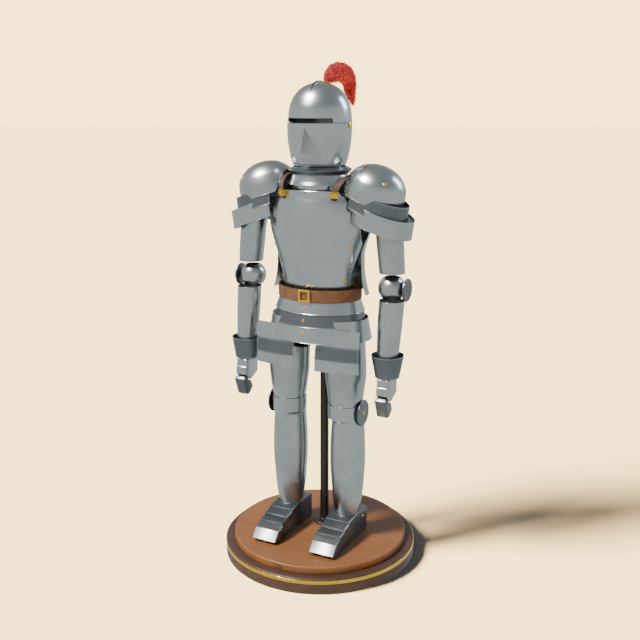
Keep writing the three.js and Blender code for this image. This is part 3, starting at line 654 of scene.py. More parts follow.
def slab_part(outline, x, half, bevel, segments):
    """A block whose side outline is given as (y, z) pairs, half its width each side of x."""
    count = len(outline)
    verts = [Vector((x + side * half, y, z)) for side in (-1, 1) for y, z in outline]
    faces = [(k, (k + 1) % count, count + (k + 1) % count, count + k) for k in range(count)]
    faces += [tuple(range(count - 1, -1, -1)), tuple(range(count, 2 * count))]
    return bevelled(verts, faces, bevel, segments)


def dome_part(centre, radius, height, sides=20, rings=6):
    """Half a ball, standing on a level plane, flattened by height."""
    lift = np.linspace(0, np.pi / 2, rings)
    verts = [Vector((radius * math.cos(a) * math.cos(b), radius * math.cos(a) * math.sin(b),
                     radius * height * math.sin(a)))
             for a in lift[:-1] for b in np.linspace(0, 2 * np.pi, sides, endpoint=False)]
    verts.append(Vector((0, 0, radius * height)))
    faces = []
    for i in range(rings - 2):
        for j in range(sides):
            k = (j + 1) % sides
            faces.append((i * sides + j, i * sides + k, (i + 1) * sides + k, (i + 1) * sides + j))
    last = (rings - 2) * sides
    faces += [(last + j, last + (j + 1) % sides, len(verts) - 1) for j in range(sides)]
    faces.append(tuple(range(sides - 1, -1, -1)))
    return [v + Vector(centre) for v in verts], faces


def turned_part(profile, centre, axis, sides=48):
    """A closed lathe part from (radius, height) pairs, standing at centre along an axis."""
    turn = Vector((0, 0, 1)).rotation_difference(Vector(axis).normalized())
    bm = surface_from([lathe(profile, sides)])
    verts, faces = parts_of(bm)
    bm.free()
    return [turn @ v + Vector(centre) for v in verts], faces


def rod_part(start, end, radius, sides=24, bevel=0.6):
    """A closed round bar from start to end, with its end edges rounded off."""
    axis = Vector(end) - Vector(start)
    length = axis.length
    profile = rounded([(0, 0), (radius, 0), (radius, length), (0, length)], bevel)
    return turned_part(profile, start, axis, sides)


# ------------------------------------------------------------------ stand
BASE = {"radius": 390, "band_low": 42, "band_high": 58, "height": 62.7}
BAND_DEPTH = 4
TOP = {"radius": 352, "low": 63, "height": 92.3}
POLE = {"y": 41, "radius": 17.5, "collar": 21.5}
FLANGE = {"radius": 42, "edge": 6, "height": 8, "screws": 30, "screw": 4.6}
HANGER = {"z": 1448, "half": 118, "radius": 13, "above": 15}
GAP = 0.4                    # kept between parts that stand on each other
TURNED_SIDES = 240


def build_stand():
    """The plinth with its brass band, the pale disc, and the pole that carries the suit."""
    radius, low, high, height = BASE.values()
    groove = radius - BAND_DEPTH
    plinth = rounded([
        (0, 0), (radius - 3, 0), (radius - 1, 3), (radius - 1, low), (groove, low),
        (groove, high), (radius - 2, high), (radius - 5, height), (0, height)], 1.6)
    piece("base_plinth", closed_shape(lathe(plinth, TURNED_SIDES)), OAK, "dark_wood")
    inner, bottom, top = groove + 0.5, low + 0.5, high - 0.5
    band = [(inner, bottom)] + rounded([
        (inner + 1.5, bottom), (radius, bottom), (radius, top), (inner + 1.5, top)], 0.9)
    band += [(inner, top), (inner, bottom)]
    piece("base_band", closed_shape(lathe(band, TURNED_SIDES)), BRASS, "brass")
    radius, low, height = TOP.values()
    disc = rounded([(0, low), (radius - 1, low), (radius, low + 2), (radius, height - 3),
                    (radius - 3, height), (0, height)], 2.4)
    piece("base_top", closed_shape(lathe(disc, TURNED_SIDES)), BEECH, "pale_wood")

    up, y = (0, 0, 1), POLE["y"]
    radius, edge, thick, screws, screw = FLANGE.values()
    foot = TOP["height"] + GAP
    flange = rounded([(0, foot), (radius, foot), (radius, foot + edge),
                      (radius - 5, foot + thick), (0, foot + thick)], 2)
    parts = [turned_part(flange, (0, y, 0), up, 72)]
    for quarter in range(4):
        turn = math.radians(45 + 90 * quarter)
        at = (screws * math.cos(turn), y + screws * math.sin(turn), foot + thick - 0.2)
        parts.append(dome_part(at, screw, 0.5))
    piece("pole_flange", closed_shape(parts), BLACK, "black_steel")
    low, high = foot + thick + 0.3, HANGER["z"] + HANGER["above"]
    upright = rounded([
        (0, low), (POLE["collar"], low), (POLE["collar"], foot + 14),
        (POLE["radius"], foot + 20), (POLE["radius"], high), (0, high)], 2.5)
    bar = rod_part((-HANGER["half"], y, HANGER["z"]), (HANGER["half"], y, HANGER["z"]),
                   HANGER["radius"], 32, 3)
    piece("display_pole", closed_shape([turned_part(upright, (0, y, 0), up, 64), bar]), BLACK,
          "black_steel")


# ------------------------------------------------------------------ helmet
HELMET = table(
    "z radius",
    (1564, 91), (1590, 102.5), (1625, 111.6), (1675, 118.6), (1704, 120), (1731, 120.2),
    (1780, 116), (1815, 104.5), (1850, 78), (1870, 43.5), (1875.3, 22), (1877, 0))
FACE_REACH = [(1564, 76), (1590, 77), (1625, 79), (1675, 86), (1704, 93), (1731, 99)]
FACE_FOOT = 1564
SLIT = {"low": 1731, "high": 1749, "half": 50, "corner": 2.5}
UNDERLAP = 9                 # degrees that the skull runs on behind the face plate
NOSE = {"top": 1716, "low": 1625, "reach": 161, "half": 27}
SKULL_DEGREE = math.radians(120)      # millimetres round the skull in one degree
COMB = {"front": -92, "back": 47, "half": 7.5, "height": 7.2, "root": 1.2}
STUD_HEIGHT = 1723
STUD_PROFILE = [(0, 0), (11, 0), (11, 1.8), (8.6, 2.6), (7.2, 2.4), (6, 3.9), (3, 4.5), (0, 4.6)]


def helmet_radius(z):
    """The skull's outer radius at a height."""
    zs, radii = (np.array([row[key] for row in HELMET], float) for key in ("z", "radius"))
    return smooth_through(zs, radii, np.clip(z, zs[0], zs[-1]))


def face_reach(z):
    """How many degrees round from the front the face plate goes at a height."""
    return np.interp(z, *zip(*FACE_REACH))


def skull_keep(p):
    """Negative inside the sight and inside the opening behind the face plate."""
    low, high, half, corner = SLIT.values()
    angle = abs(math.degrees(math.atan2(p[0], -p[1])))
    across = (angle - half) * SKULL_DEGREE
    up = abs(p[2] - (low + high) / 2) - (high - low) / 2
    outside = math.hypot(max(across + corner, 0), max(up + corner, 0))
    sight = outside + min(max(across + corner, up + corner), 0) - corner
    behind = max((angle - face_reach(p[2]) + UNDERLAP) * SKULL_DEGREE, p[2] - low - 2)
    return min(sight, behind)


def face_grid():
    """The face plate, drawn out to a flat-sided point over the nose."""
    low, top = NOSE["low"], NOSE["top"]
    zs = np.concatenate([np.linspace(FACE_FOOT, low - 0.4, 14), np.linspace(low, top, 40),
                         np.linspace(top + 2, SLIT["low"], 4)])
    across, around = 17, 29              # columns over the nose, and from it to each side edge
    rows = []
    for z in zs:
        reach, radius = face_reach(z), float(helmet_radius(z)) + LAP
        t = np.clip((z - low) / (top - low), 0, 1)
        half = max(NOSE["half"] * (1 - t), 0.01)
        inner = np.linspace(-half, half, across)
        outer = half + (reach - half) * np.linspace(0, 1, around + 1)[1:]
        angle = np.concatenate([-outer[::-1], inner, outer])
        r = np.full(angle.shape, radius)
        if z >= low and t < 1:
            ridge = NOSE["reach"] + t * (float(helmet_radius(top)) + LAP - NOSE["reach"])
            side = np.radians(half)
            b = np.array([radius * math.sin(side), radius * math.cos(side)])
            turn = np.radians(np.abs(inner))
            nose = slice(around, around + across)
            r[nose] = ridge * b[0] / (np.sin(turn) * (ridge - b[1]) + np.cos(turn) * b[0])
        turn = np.radians(angle)
        rows.append(np.stack([r * np.sin(turn), -r * np.cos(turn), np.full(r.shape, z)], -1))
    return np.array(rows)


def comb_part():
    """A low rib from above the brow back to the plume socket."""
    front, back, wide, tall, root = COMB.values()
    crown_heights = np.linspace(1735, HELMET[-1]["z"], 400)
    radii = helmet_radius(crown_heights)
    rings = []
    for t in np.linspace(0, 1, 61):
        y = front + t * (back - front)
        crown = np.interp(-abs(y), -radii, crown_heights)
        half = wide * min(1.0, 0.3 + 2.6 * t) * min(1.0, 0.75 + 1.5 * (1 - t))
        height = tall * math.sqrt(min(1.0, 0.04 + 3.2 * t))
        outline = [(half * math.cos(a), height * math.sin(a) ** 0.8)
                   for a in np.linspace(0, np.pi, 13)]
        outline = [(half, -root)] + outline + [(-half, -root)]
        rings.append([(x, y, crown + up) for x, up in outline])
    return tube_part(np.array(rings))


def tube_part(rings):
    """A closed part through rings of points, flat at both ends."""
    count, sides = rings.shape[:2]
    faces = []
    for i in range(count - 1):
        for j in range(sides):
            k = (j + 1) % sides
            faces.append((i * sides + j, i * sides + k, (i + 1) * sides + k, (i + 1) * sides + j))
    faces += [tuple(range(sides - 1, -1, -1)), tuple(range((count - 1) * sides, count * sides))]
    bm = bmesh.new()
    add_verts(bm, rings.reshape(-1, 3), faces)
    bmesh.ops.recalc_face_normals(bm, faces=bm.faces)
    part = parts_of(bm)
    bm.free()
    return part


def build_helmet():
    """The skull with its sight, the face plate, the comb and the two pivot studs."""
    skull = plate_shell([oval(HELMET, 90, 200)], rim=FULL_RIM, keep=skull_keep,
                        rolled=lambda p: p[2] < FACE_FOOT + 2)
    piece("helmet_skull", skull, STEEL, "steel", smooth=40)
    face = plate_shell([face_grid()], rolled=lambda p: p[2] < SLIT["low"] - 2)
    piece("helmet_face_plate", face, STEEL, "steel", smooth=22)
    piece("helmet_comb", closed_shape([comb_part()]), DARK_STEEL, "dark_steel")
    seat = float(helmet_radius(STUD_HEIGHT)) + LAP + GAP
    stud = turned_part(rounded(STUD_PROFILE, 1.0), (seat, 0, STUD_HEIGHT), (1, 0, 0))
    pair("helmet_stud", closed_shape([stud]), BRASS, "brass")


# ------------------------------------------------------------------ plume
PLUME = table(
    "y z radius",
    (74, 1876, 12), (76, 1884, 20), (89, 1898, 25), (116, 1913, 30), (160, 1917, 33),
    (210, 1911, 31), (243, 1893, 27), (257, 1868, 23.5), (266, 1842, 19), (280, 1815, 11.5),
    (292, 1795, 3))


PLUME_LUMPS = ((0.07, 3, 11), (0.05, 5, -7))      # depth, count round, and millimetres of drift
BARB = {"length": 11, "width": 1.5, "bend": 2.6, "thick": 0.5}
BARBS_PER_M2 = 90000.0
SOCKET = [(0, 1860), (9, 1860), (9.5, 1868), (12, 1870), (12, 1872.5), (10.5, 1873), (11, 1876),
          (13, 1877), (13, 1879), (0, 1879)]
SOCKET_PLACE = (0, 66, 0)


def plume_core():
    """The body of the feathers, lumpy where they bunch, with the way they lie on each point."""
    path = np.array([(row["y"], row["z"], row["radius"]) for row in PLUME], float)
    along = np.concatenate([[0], np.cumsum(np.hypot(*np.diff(path[:, :2], axis=0).T))])
    at = np.linspace(0, along[-1], 90)
    y, z, radius = (smooth_through(along, path[:, k], at) for k in range(3))
    dy, dz = np.gradient(y), np.gradient(z)
    size = np.hypot(dy, dz)
    dy, dz = dy / size, dz / size
    rings, flow = [], []
    turn = np.radians(np.linspace(0, 360, 40, endpoint=False))
    for k in range(len(at)):
        lump = 1 + sum(depth * np.sin(count * turn + at[k] / drift)
                       for depth, count, drift in PLUME_LUMPS)
        r = radius[k] * lump
        rings.append(np.stack([r * np.cos(turn), y[k] - dz[k] * r * np.sin(turn),
                               z[k] + dy[k] * r * np.sin(turn)], -1))
        flow += [(0, dy[k], dz[k])] * len(turn)
    return np.array(rings), flow


# ------------------------------------------------------------------ gorget and cuirass
COLLAR = table(
    "z radius",
    (1543.8, 106.5), (1545, 108), (1557.5, 120.2), (1559, 121), (1562.5, 120.5), (1564, 118),
    (1571, 102))
GORGET = table(
    "z side front",
    (1476, 106, 102), (1503, 107, 103), (1504.2, 109, 105), (1505, 121, 117),
    (1508, 121.4, 117.4), (1520, 115, 111.5), (1543, 106, 105))


def build_gorget():
    """The flared collar over the neck plate."""
    piece("gorget_collar", plate_shell([oval(COLLAR, 30, 160, True)], rim=FULL_RIM),
          DARK_STEEL, "dark_steel", smooth=30)
    piece("gorget_plate", plate_shell([oval(GORGET, 40, 160, True)], rim=FINE_RIM),
          STEEL, "steel", smooth=30)


BREAST = table(
    "z side front ridge end",
    (1100, 145, 107, 1, 88), (1185, 158, 119, 5, 87), (1240, 172, 130, 6, 86),
    (1286, 186, 138, 6, 84), (1312, 195, 138, 6, 76), (1350, 205, 135, 6, 69),
    (1398, 209, 130, 5, 64), (1440, 200, 123, 4, 56), (1478, 178, 115, 2, 43.6),
    (1482, 176, 115.4, 2, 43), (1487, 174, 119, 2, 42))
BACK = table(
    "z side back end",
    (1093, 201, 140, 95), (1128, 191, 138, 95), (1190, 183, 121, 95), (1245, 182, 124, 95),
    (1290, 192, 132, 93), (1325, 203, 138, 84), (1370, 207, 142, 72), (1420, 203, 143, 62),
    (1500, 164, 130, 46))


def build_cuirass():
    """The breastplate with its centre ridge, and the backplate."""
    front = [{**row, "start": -row["end"]} for row in BREAST]
    piece("breastplate", plate_shell([oval(front, 60, 120)]), STEEL, "steel", smooth=30)
    back = [{**row, "front": row["back"], "start": 180 - row["end"], "end": 180 + row["end"]}
            for row in BACK]
    piece("backplate", plate_shell([oval(back, 60, 120)]), STEEL, "steel", smooth=30)


# ------------------------------------------------------------------ skirt
FAULD_REACH = 84
FAULD = [
    table("z side front ridge", (1026, 183, 137, 1), (1094, 156, 117, 0)),
    table("z side front ridge", (976, 190, 146, 1), (1037, 176, 131, 1)),
    table("z side front ridge", (917, 213, 155, 1), (1000, 199, 135.5, 1)),
]
TASSET = {"inner": 47, "outer": 220, "bow": 5}
TASSET_LAMES = [
    table("z inner outer", (900, -127, -113), (972, -118, -106)),
    table("z inner outer", (852, -140.5, -117.5), (907, -131, -117)),
    table("z inner outer", (808, -141, -113), (859, -137, -114)),
]
FINISH = [(STEEL, "steel"), (DARK_STEEL, "dark_steel"), (STEEL, "steel")]   # lame by lame
LAP_GAP, HEM_GAP = 0.6, 1.0      # how clear a lame stays of the one that it laps


def skirt_grid(lame, start, end, columns):
    """A straight-sided hoop of the skirt between two angles."""
    rows = [{**row, "start": start, "end": end} for row in lame]
    return oval(rows, 10, columns, True)


def clear_of(lame, gap, p):
    """Distance outside the slot that a skirt lame takes up, so that another stays clear."""
    low, high = lame
    t = (p[2] - low["z"]) / (high["z"] - low["z"])
    side, front = (low[k] + t * (high[k] - low[k]) for k in ("side", "front"))
    out = math.hypot(p[0] / side, p[1] / front)
    offset = (out - 1) * math.hypot(p[0], p[1]) / out
    return max(abs(offset + WALL / 2) - WALL / 2 - gap, low["z"] - gap - p[2])


def above_skirt(p):
    """Keeps the third skirt lame clear of the second."""
    return clear_of(FAULD[1], LAP_GAP, p)


def hem_keep(p):
    """Keeps the first tasset lame clear of the hem of the last skirt lame."""
    return clear_of(FAULD[2], HEM_GAP, p)


def tasset_grid(lame):
    """A hanging thigh lame, bowed forward a little in its middle."""
    t = np.linspace(0, 1, 41)
    bow = TASSET["bow"] * 4 * t * (1 - t)
    rows = []
    for step in np.linspace(0, 1, 13):
        z, inner, outer = (lame[0][k] + step * (lame[1][k] - lame[0][k])
                           for k in ("z", "inner", "outer"))
        x = TASSET["inner"] + t * (TASSET["outer"] - TASSET["inner"])
        rows.append(np.stack([x, inner + t * (outer - inner) - bow, np.full(t.shape, z)], -1))
    return np.array(rows)


def build_skirt():
    """Three hoops in front, three behind, and three tasset lames on each thigh."""
    seam = FAULD_REACH + 0.5
    for k, (lame, (finish, slot)) in enumerate(zip(FAULD, FINISH)):
        low = lame[0]["z"]
        for name, start, end in ((f"fauld_{k + 1}", -FAULD_REACH, FAULD_REACH),
                                 (f"culet_{k + 1}", seam, 360 - seam)):
            bm = plate_shell([skirt_grid(lame, start, end, 110)],
                             rolled=lambda p: p[2] < low + 0.5,
                             keep=above_skirt if k == 2 else None)
            piece(name, bm, finish, slot)
    for k, (lame, (finish, slot)) in enumerate(zip(TASSET_LAMES, FINISH)):
        top = lame[1]["z"]
        bm = plate_shell([tasset_grid(lame)], rim=FINE_RIM,
                         rolled=lambda p: p[2] < top - 0.5,
                         keep=hem_keep if k == 0 else None)
        pair(f"tasset_{k + 1}", bm, finish, slot)


# ------------------------------------------------------------------ shoulders
SHOULDER = {"x": 228.9, "y": 1, "z": 1489.5, "tilt": 19}
NECK_CUT = {"low": 1440, "low_radius": 183, "high": 1600, "high_radius": 123}
CAP = table(
    "z side front",
    (-38, 115, 110.5), (-6, 115.8, 110.6), (30, 110, 104.5), (60, 90.5, 86), (84, 55.5, 53),
    (92.5, 25, 24), (95, 0, 0))
SHOULDER_LAMES = [
    (-28, 208, table("z x side front", (-75, 20, 134, 113), (-12, 9, 132, 106))),
    (-42, 210, table("z x side front", (-121, 64, 126, 116), (-55, 53, 125, 113.5))),
]


def at_shoulder(grid):
    """From the middle of the cap, tilted outwards, to the left shoulder."""
    turn = math.radians(SHOULDER["tilt"])
    x, y, z = grid[..., 0], grid[..., 1], grid[..., 2]
    return np.stack([x * math.cos(turn) + z * math.sin(turn) + SHOULDER["x"], y + SHOULDER["y"],
                     -x * math.sin(turn) + z * math.cos(turn) + SHOULDER["z"]], -1)


def neck_keep(p):
    """Negative inside the round hollow that the pauldron leaves for the neck."""
    t = (p[2] - NECK_CUT["low"]) / (NECK_CUT["high"] - NECK_CUT["low"])
    radius = NECK_CUT["low_radius"] + t * (NECK_CUT["high_radius"] - NECK_CUT["low_radius"])
    return math.hypot(p[0], p[1]) - radius


def build_shoulders():
    """A domed cap on each shoulder with two lames below it."""
    pair("pauldron", plate_shell([at_shoulder(oval(CAP, 60, 180))], rim=FULL_RIM, keep=neck_keep),
         STEEL, "steel", smooth=40)
    for k, (start, end, lame) in enumerate(SHOULDER_LAMES):
        finish, slot = FINISH[1 - k]
        rows = [{**row, "start": start, "end": end} for row in lame]
        bm = plate_shell([at_shoulder(oval(rows, 12, 120, True))], rim=FINE_RIM)
        pair(f"pauldron_lame_{k + 1}", bm, finish, slot)


# ------------------------------------------------------------------ arms
UPPER_ARM = table(
    "z x y radius", (1190, 306, -8.7, 48.5), (1310, 294, -7, 51), (1392, 284, -4, 51))
FOREARM = table(
    "z x y radius", (868, 308.5, -46, 41), (1010, 309, -27, 47), (1086, 310, -17, 48))
CUFF = table("z x y radius", (798, 310, -48, 46), (882, 308.5, -45, 62))
ELBOW = {"x": 302, "y": 1, "z": 1130, "radius": 52, "half": 42}
ELBOW_DISC = {"radius": 44, "thick": 7.5, "at": (359, 3, 1127), "post": 9, "root": -6}
KNEE_DISC = {"radius": 53, "thick": 5.5, "at": (196, -18, 624), "post": 12, "root": -3}
GAUNTLET = {"x": 309, "hand": 23.5, "fingers": 22.5, "edge": 3}
HAND = [(-92, 795), (-8, 795), (-3, 780), (-6, 727), (-60, 704), (-90, 722), (-98, 734),
        (-98, 762), (-94, 766), (-92, 772)]
FINGERS = [(-103, 727), (-114, 716), (-88, 647), (-70, 646), (-43, 669), (-56, 700),
           (-66, 703.2), (-92, 719)]


def disc_parts(radius, thick, at, post, root):
    """The dished disc on the outer side of a joint, with a bevelled rim, and its post."""
    profile = rounded([(0, 0), (radius, 0), (radius, thick - 2.5), (radius - 3, thick),
                       (radius * 0.55, thick - 1.2), (0, thick - 0.6)], 1.2)
    x, y, z = at
    return (turned_part(profile, at, (1, 0, 0), 72),
            rod_part((x + root, y, z), (x + 1, y, z), post))


def build_arms():
    """Upper arm tube, elbow cop with its disc, forearm tube, cuff, hand and fingers."""
    pair("rerebrace", plate_shell([oval(UPPER_ARM, 24, 72)], rim=FINE_RIM), STEEL, "steel")
    x, y, z, radius, half = ELBOW.values()
    cop = [{"z": z + h, "x": x, "y": y, "radius": math.sqrt(radius ** 2 - h ** 2)}
           for h in np.linspace(-half, half, 17)]
    bm = plate_shell([oval(cop, 20, 72)], rim=FINE_RIM, extra=disc_parts(**ELBOW_DISC))
    pair("couter", bm, (STEEL, DARK_STEEL), "steel")
    pair("vambrace", plate_shell([oval(FOREARM, 24, 72)], rim=FINE_RIM), STEEL, "steel")
    pair("gauntlet_cuff", plate_shell([oval(CUFF, 12, 72)]), DARK_STEEL, "dark_steel")
    x, hand, fingers, edge = GAUNTLET.values()
    pair("gauntlet_hand", closed_shape([slab_part(HAND, x, hand, edge, 3)]), STEEL, "steel")
    pair("gauntlet_fingers", closed_shape([slab_part(FINGERS, x, fingers, edge, 3)]),
         DARK_STEEL, "dark_steel")


# ------------------------------------------------------------------ legs
THIGH = table(
    "z x y radius",
    (646, 125.5, -25, 64), (700, 125.5, -24, 72), (785, 125, -23, 80.5), (928, 118, -18, 78))
THIGH_CUT = {"inner": 42, "low": 865, "outer": 198, "high": 927}
POLEYN = table("z x y radius", (600, 125.5, -25, 68), (628, 125.5, -25, 69.5),
               (656, 125.5, -25, 68.2))
SHIN = table("z x y radius ridge", (195, 130, -10, 52, 2), (300, 130, -10, 63.5, 4),
             (434, 130, -10, 70.5, 4), (577, 130, -10, 64.5, 2), (603, 126, -23.5, 62, 1))
SABATON_SOLE = [(-240, 101), (-206, 92.8), (70, 92.8)]
SABATON_TREADS = [(72, 189), (30, 193.5), (-38, 193.5), (-100, 187), (-140, 173), (-183, 162),
                  (-216, 141.5), (-245, 107)]
SABATON_STEPS = {3: 6.0, 4: 7.0, 5: 9.5}     # how far each lame drops onto the next
SABATON_SPINE = (-205, 60, 128)              # front, back and height of the line it shrinks to
# How far out from the foot's middle each outline stands, and how far it is drawn in there.
SABATON_RINGS = [(-53, 4.5), (-52.6, 2.2), (-49.5, 0), (49.5, 0), (52.6, 2.2), (53, 4.5)]
SABATON_LIP = [(-0.8, -1.2), (2.6, -2.6)]    # back and down round the edge of a lame
FOOT_X = 128.3
TOE_HIGHLIGHT_Y = -216                               # in front of this the foot's upward faces take the bright steel: a painted highlight on the toe cap
ANKLE = table("z x y radius", (184, FOOT_X, -10, 46), (208, FOOT_X, -10, 46))
ANKLE_BEAD = {"y": -10, "ring": 55.5, "half": 72, "radius": 2.0}


def thigh_keep(p):
    """Negative above the slanting top of the thigh plate."""
    inner, low, outer, high = THIGH_CUT.values()
    return low + (p[0] - inner) * (high - low) / (outer - inner) - p[2]


def sabaton_part():
    """The foot plates from the side: each lame ends in a lip over the next, lower one."""
    outline = []
    for k, (y, z) in enumerate(SABATON_TREADS):
        outline.append((y, z))
        if k in SABATON_STEPS:
            outline += [(y + back, z + down) for back, down in SABATON_LIP]
            outline.append((y + 1.2, z - SABATON_STEPS[k]))
    outline = np.array(outline + SABATON_SOLE, float)
    back, front, height = SABATON_SPINE
    spine = np.stack([np.clip(outline[:, 0], back, front), np.full(len(outline), height)], -1)
    inward = spine - outline
    inward /= np.linalg.norm(inward, axis=1)[:, None]
    rings = [[(FOOT_X + out, y, z) for y, z in outline + inward * inset]
             for out, inset in SABATON_RINGS]
    return tube_part(np.array(rings))


def ankle_bead():
    """A raised bead on the foot, round the front of the greave's lower rim."""
    middle, ring, half, radius = ANKLE_BEAD.values()
    turn = np.radians(np.linspace(-half, half, 49))
    y = middle - ring * np.cos(turn)
    treads = np.array(SABATON_TREADS[1:4])
    z = np.interp(-y, -treads[:, 0], treads[:, 1])
    run = [(Vector((FOOT_X + ring * math.sin(a), b, c)), Vector((0, 0, 1)))
           for a, b, c in zip(turn, y, z)]
    return sweep(run, False, radius, 10, 0)


def build_legs():
    """Thigh plate, knee band with its disc, greave and laminated foot."""
    pair("cuisse", plate_shell([oval(THIGH, 40, 96)], keep=thigh_keep), STEEL, "steel")
    bm = plate_shell([oval(POLEYN, 16, 96)], extra=disc_parts(**KNEE_DISC))
    pair("poleyn", bm, (STEEL, DARK_STEEL), "steel")
    pair("greave", plate_shell([oval(SHIN, 60, 96)]), STEEL, "steel")
    ankle = plate_shell([oval(ANKLE, 4, 64)], rim=FULL_RIM)
    parts = [sabaton_part(), ankle_bead(), parts_of(ankle)]
    ankle.free()
    bm = closed_shape(parts)
    bm.normal_update()
    # Painted highlight: the toe's upward faces get the bright steel, and the foot's other faces
    # stay dark steel.
    for face in bm.faces:
        if face.calc_center_median().y < TOE_HIGHLIGHT_Y and face.normal.z > 0.3:
            face.material_index = 1
    pair("sabaton", bm, (DARK_STEEL, STEEL), "dark_steel", smooth=28)


# ------------------------------------------------------------------ straps and belt
STRAP = table(
    "x y z turn",
    (109, -105, 1460, 30), (111, -102.5, 1478, 30), (115, -93, 1500, 27), (122, -72, 1520, 19),
    (129, -38, 1534, 8), (133, 0, 1540, 0), (126, 42, 1533, -8), (121, 80, 1519, -20),
    (115, 104, 1502, -30), (111, 114, 1478, -36))
STRAP_WIDTH = 22
KEEPER = {"at": (109, -100.8, 1475), "size": (31, 18, 24), "turn": 30, "lean": -8,
          "face": 7, "cheek": 4}
BELT = {"low": 1071, "high": 1119, "side": 170, "front": 131}
BUCKLE = {"size": 50, "bar": 9.6, "depth": 5}


def strap_frames(steps=120):
    """Centre, width and outward directions along the shoulder strap."""
    keys = np.array([[row[k] for k in ("x", "y", "z", "turn")] for row in STRAP], float)
    along = np.concatenate([[0], np.cumsum(np.linalg.norm(np.diff(keys[:, :3], axis=0), axis=1))])
    at = np.linspace(0, along[-1], steps + 1)
    x, y, z, turn = (smooth_through(along, keys[:, k], at) for k in range(4))
    centre = np.stack([x, y, z], -1)
    tangent = np.gradient(centre, axis=0)
    tangent /= np.linalg.norm(tangent, axis=1)[:, None]
    turn = np.radians(turn)
    width = np.stack([np.cos(turn), np.sin(turn), np.zeros(len(at))], -1)
    width -= (width * tangent).sum(1)[:, None] * tangent
    width /= np.linalg.norm(width, axis=1)[:, None]
    return centre, width, np.cross(width, tangent)


def strap_shape():
    """A strap with rounded edges, its cross section swept along the frames."""
    centre, width, face = strap_frames()
    half, thick = STRAP_WIDTH / 2, LEATHER
    section = rounded([(-half, 0), (-half, thick), (half, thick), (half, 0)], 1.0)[1:-1]
    section = [(-half, 0.3), *(tuple(p) for p in section), (half, 0.3), (half - 1, 0),
               (-half + 1, 0)]
    rings = np.array([[centre[k] + width[k] * a + face[k] * b for a, b in section]
                      for k in range(len(centre))])
    bm = closed_shape([tube_part(rings)])
    layer = rim_layer(bm)
    bm.verts.ensure_lookup_table()
    for k in range(len(centre)):
        for j, (a, _) in enumerate(section):
            bm.verts[k * len(section) + j][layer] = half - abs(a)
    return bm


def keeper_shape():
    """The brass keeper at the front of a shoulder strap: a plate with a cheek at each side."""
    turn = (Matrix.Rotation(math.radians(KEEPER["turn"]), 3, "Z")
            @ Matrix.Rotation(math.radians(KEEPER["lean"]), 3, "X"))
    centre, face, cheek = Vector(KEEPER["at"]), KEEPER["face"], KEEPER["cheek"]
    wide, deep, high = KEEPER["size"]
    parts = [box_part(centre + turn @ Vector((0, (face - deep) / 2, 0)), (wide, face, high), 2,
                      turn)]
    for side in (-1, 1):
        parts.append(box_part(centre + turn @ Vector((side * (wide - cheek) / 2, 0, 0)),
                              (cheek, deep, high), 1.2, turn))
    return closed_shape(parts)


def belt_shape():
    """The belt as one oval band, its edges eased inwards."""
    rows = [{**BELT, "z": z} for z in np.linspace(BELT["low"], BELT["high"], 9)]
    for end in (0, -1):
        rows[end].update(side=BELT["side"] - 1, front=BELT["front"] - 1)
    return plate_shell([oval(rows, 12, 240, True)], wall=LEATHER, rim=0)


def belt_buckle_parts():
    """A square frame of four bars that lies on the front of the belt."""
    middle = (BELT["low"] + BELT["high"]) / 2
    y = -BELT["front"] - 0.5 - BUCKLE["depth"] / 2
    size, bar, depth = BUCKLE.values()
    reach = (size - bar) / 2
    parts = []
    for side in (-1, 1):
        parts.append(box_part((side * reach, y, middle), (bar, depth, size), 1.6))
        parts.append(box_part((0, y, middle + side * reach), (size - 2 * bar + 2, depth, bar),
                              1.6))
    return parts


def build_straps():
    """The leather and its brass."""
    pair("shoulder_strap", strap_shape(), LEATHER_FINISH, "leather")
    pair("shoulder_buckle", keeper_shape(), BRASS, "brass")
    piece("belt", belt_shape(), LEATHER_FINISH, "leather")
    piece("belt_buckle", closed_shape(belt_buckle_parts()), BRASS, "brass")


# ------------------------------------------------------------------ geometry nodes
LEAST, MOST, DRAWN = 2, 3, 1     # a Random Value node's sockets for a number: two in, one out


def node_group(name, *inputs):
    """A modifier tree with a Geometry input and the named ones, each as (kind, name, default)."""
    tree = bpy.data.node_groups.new(name, "GeometryNodeTree")
    tree.interface.new_socket("Geometry", in_out="INPUT", socket_type="NodeSocketGeometry")
    for kind, label, default in inputs:
        made = tree.interface.new_socket(label, in_out="INPUT", socket_type=kind)
        if default is not None:
            made.default_value = default
    tree.interface.new_socket("Geometry", in_out="OUTPUT", socket_type="NodeSocketGeometry")
    return tree, add_node(tree, "NodeGroupInput").outputs, add_node(tree, "NodeGroupOutput")


def grow(tree, base, name, slot, values, smooth=40):
    """Runs a tree on a base mesh and keeps the result as one plain piece."""
    holder = bpy.data.objects.new(name, base)
    bpy.context.scene.collection.objects.link(holder)
    modifier = holder.modifiers.new("grow", "NODES")
    modifier.node_group = tree
    sockets = {item.name: item.identifier for item in tree.interface.items_tree
               if item.in_out == "INPUT"}
    for label, value in values.items():
        modifier[sockets[label]] = value
    mesh = evaluated_mesh(holder)
    mesh.name = name
    return placed(name, mesh, slot, smooth)


def points_mesh(name, points, **attributes):
    """Loose points in metres, each with its own vectors or numbers."""
    mesh = bpy.data.meshes.new(name)
    mesh.from_pydata([tuple(Vector(p) * MM) for p in points], [], [])
    for label, values in attributes.items():
        kind = "FLOAT_VECTOR" if np.ndim(values) == 2 else "FLOAT"
        layer = mesh.attributes.new(label, kind, "POINT")
        field = "vector" if kind == "FLOAT_VECTOR" else "value"
        layer.data.foreach_set(field, np.asarray(values, "f").ravel())
    return mesh


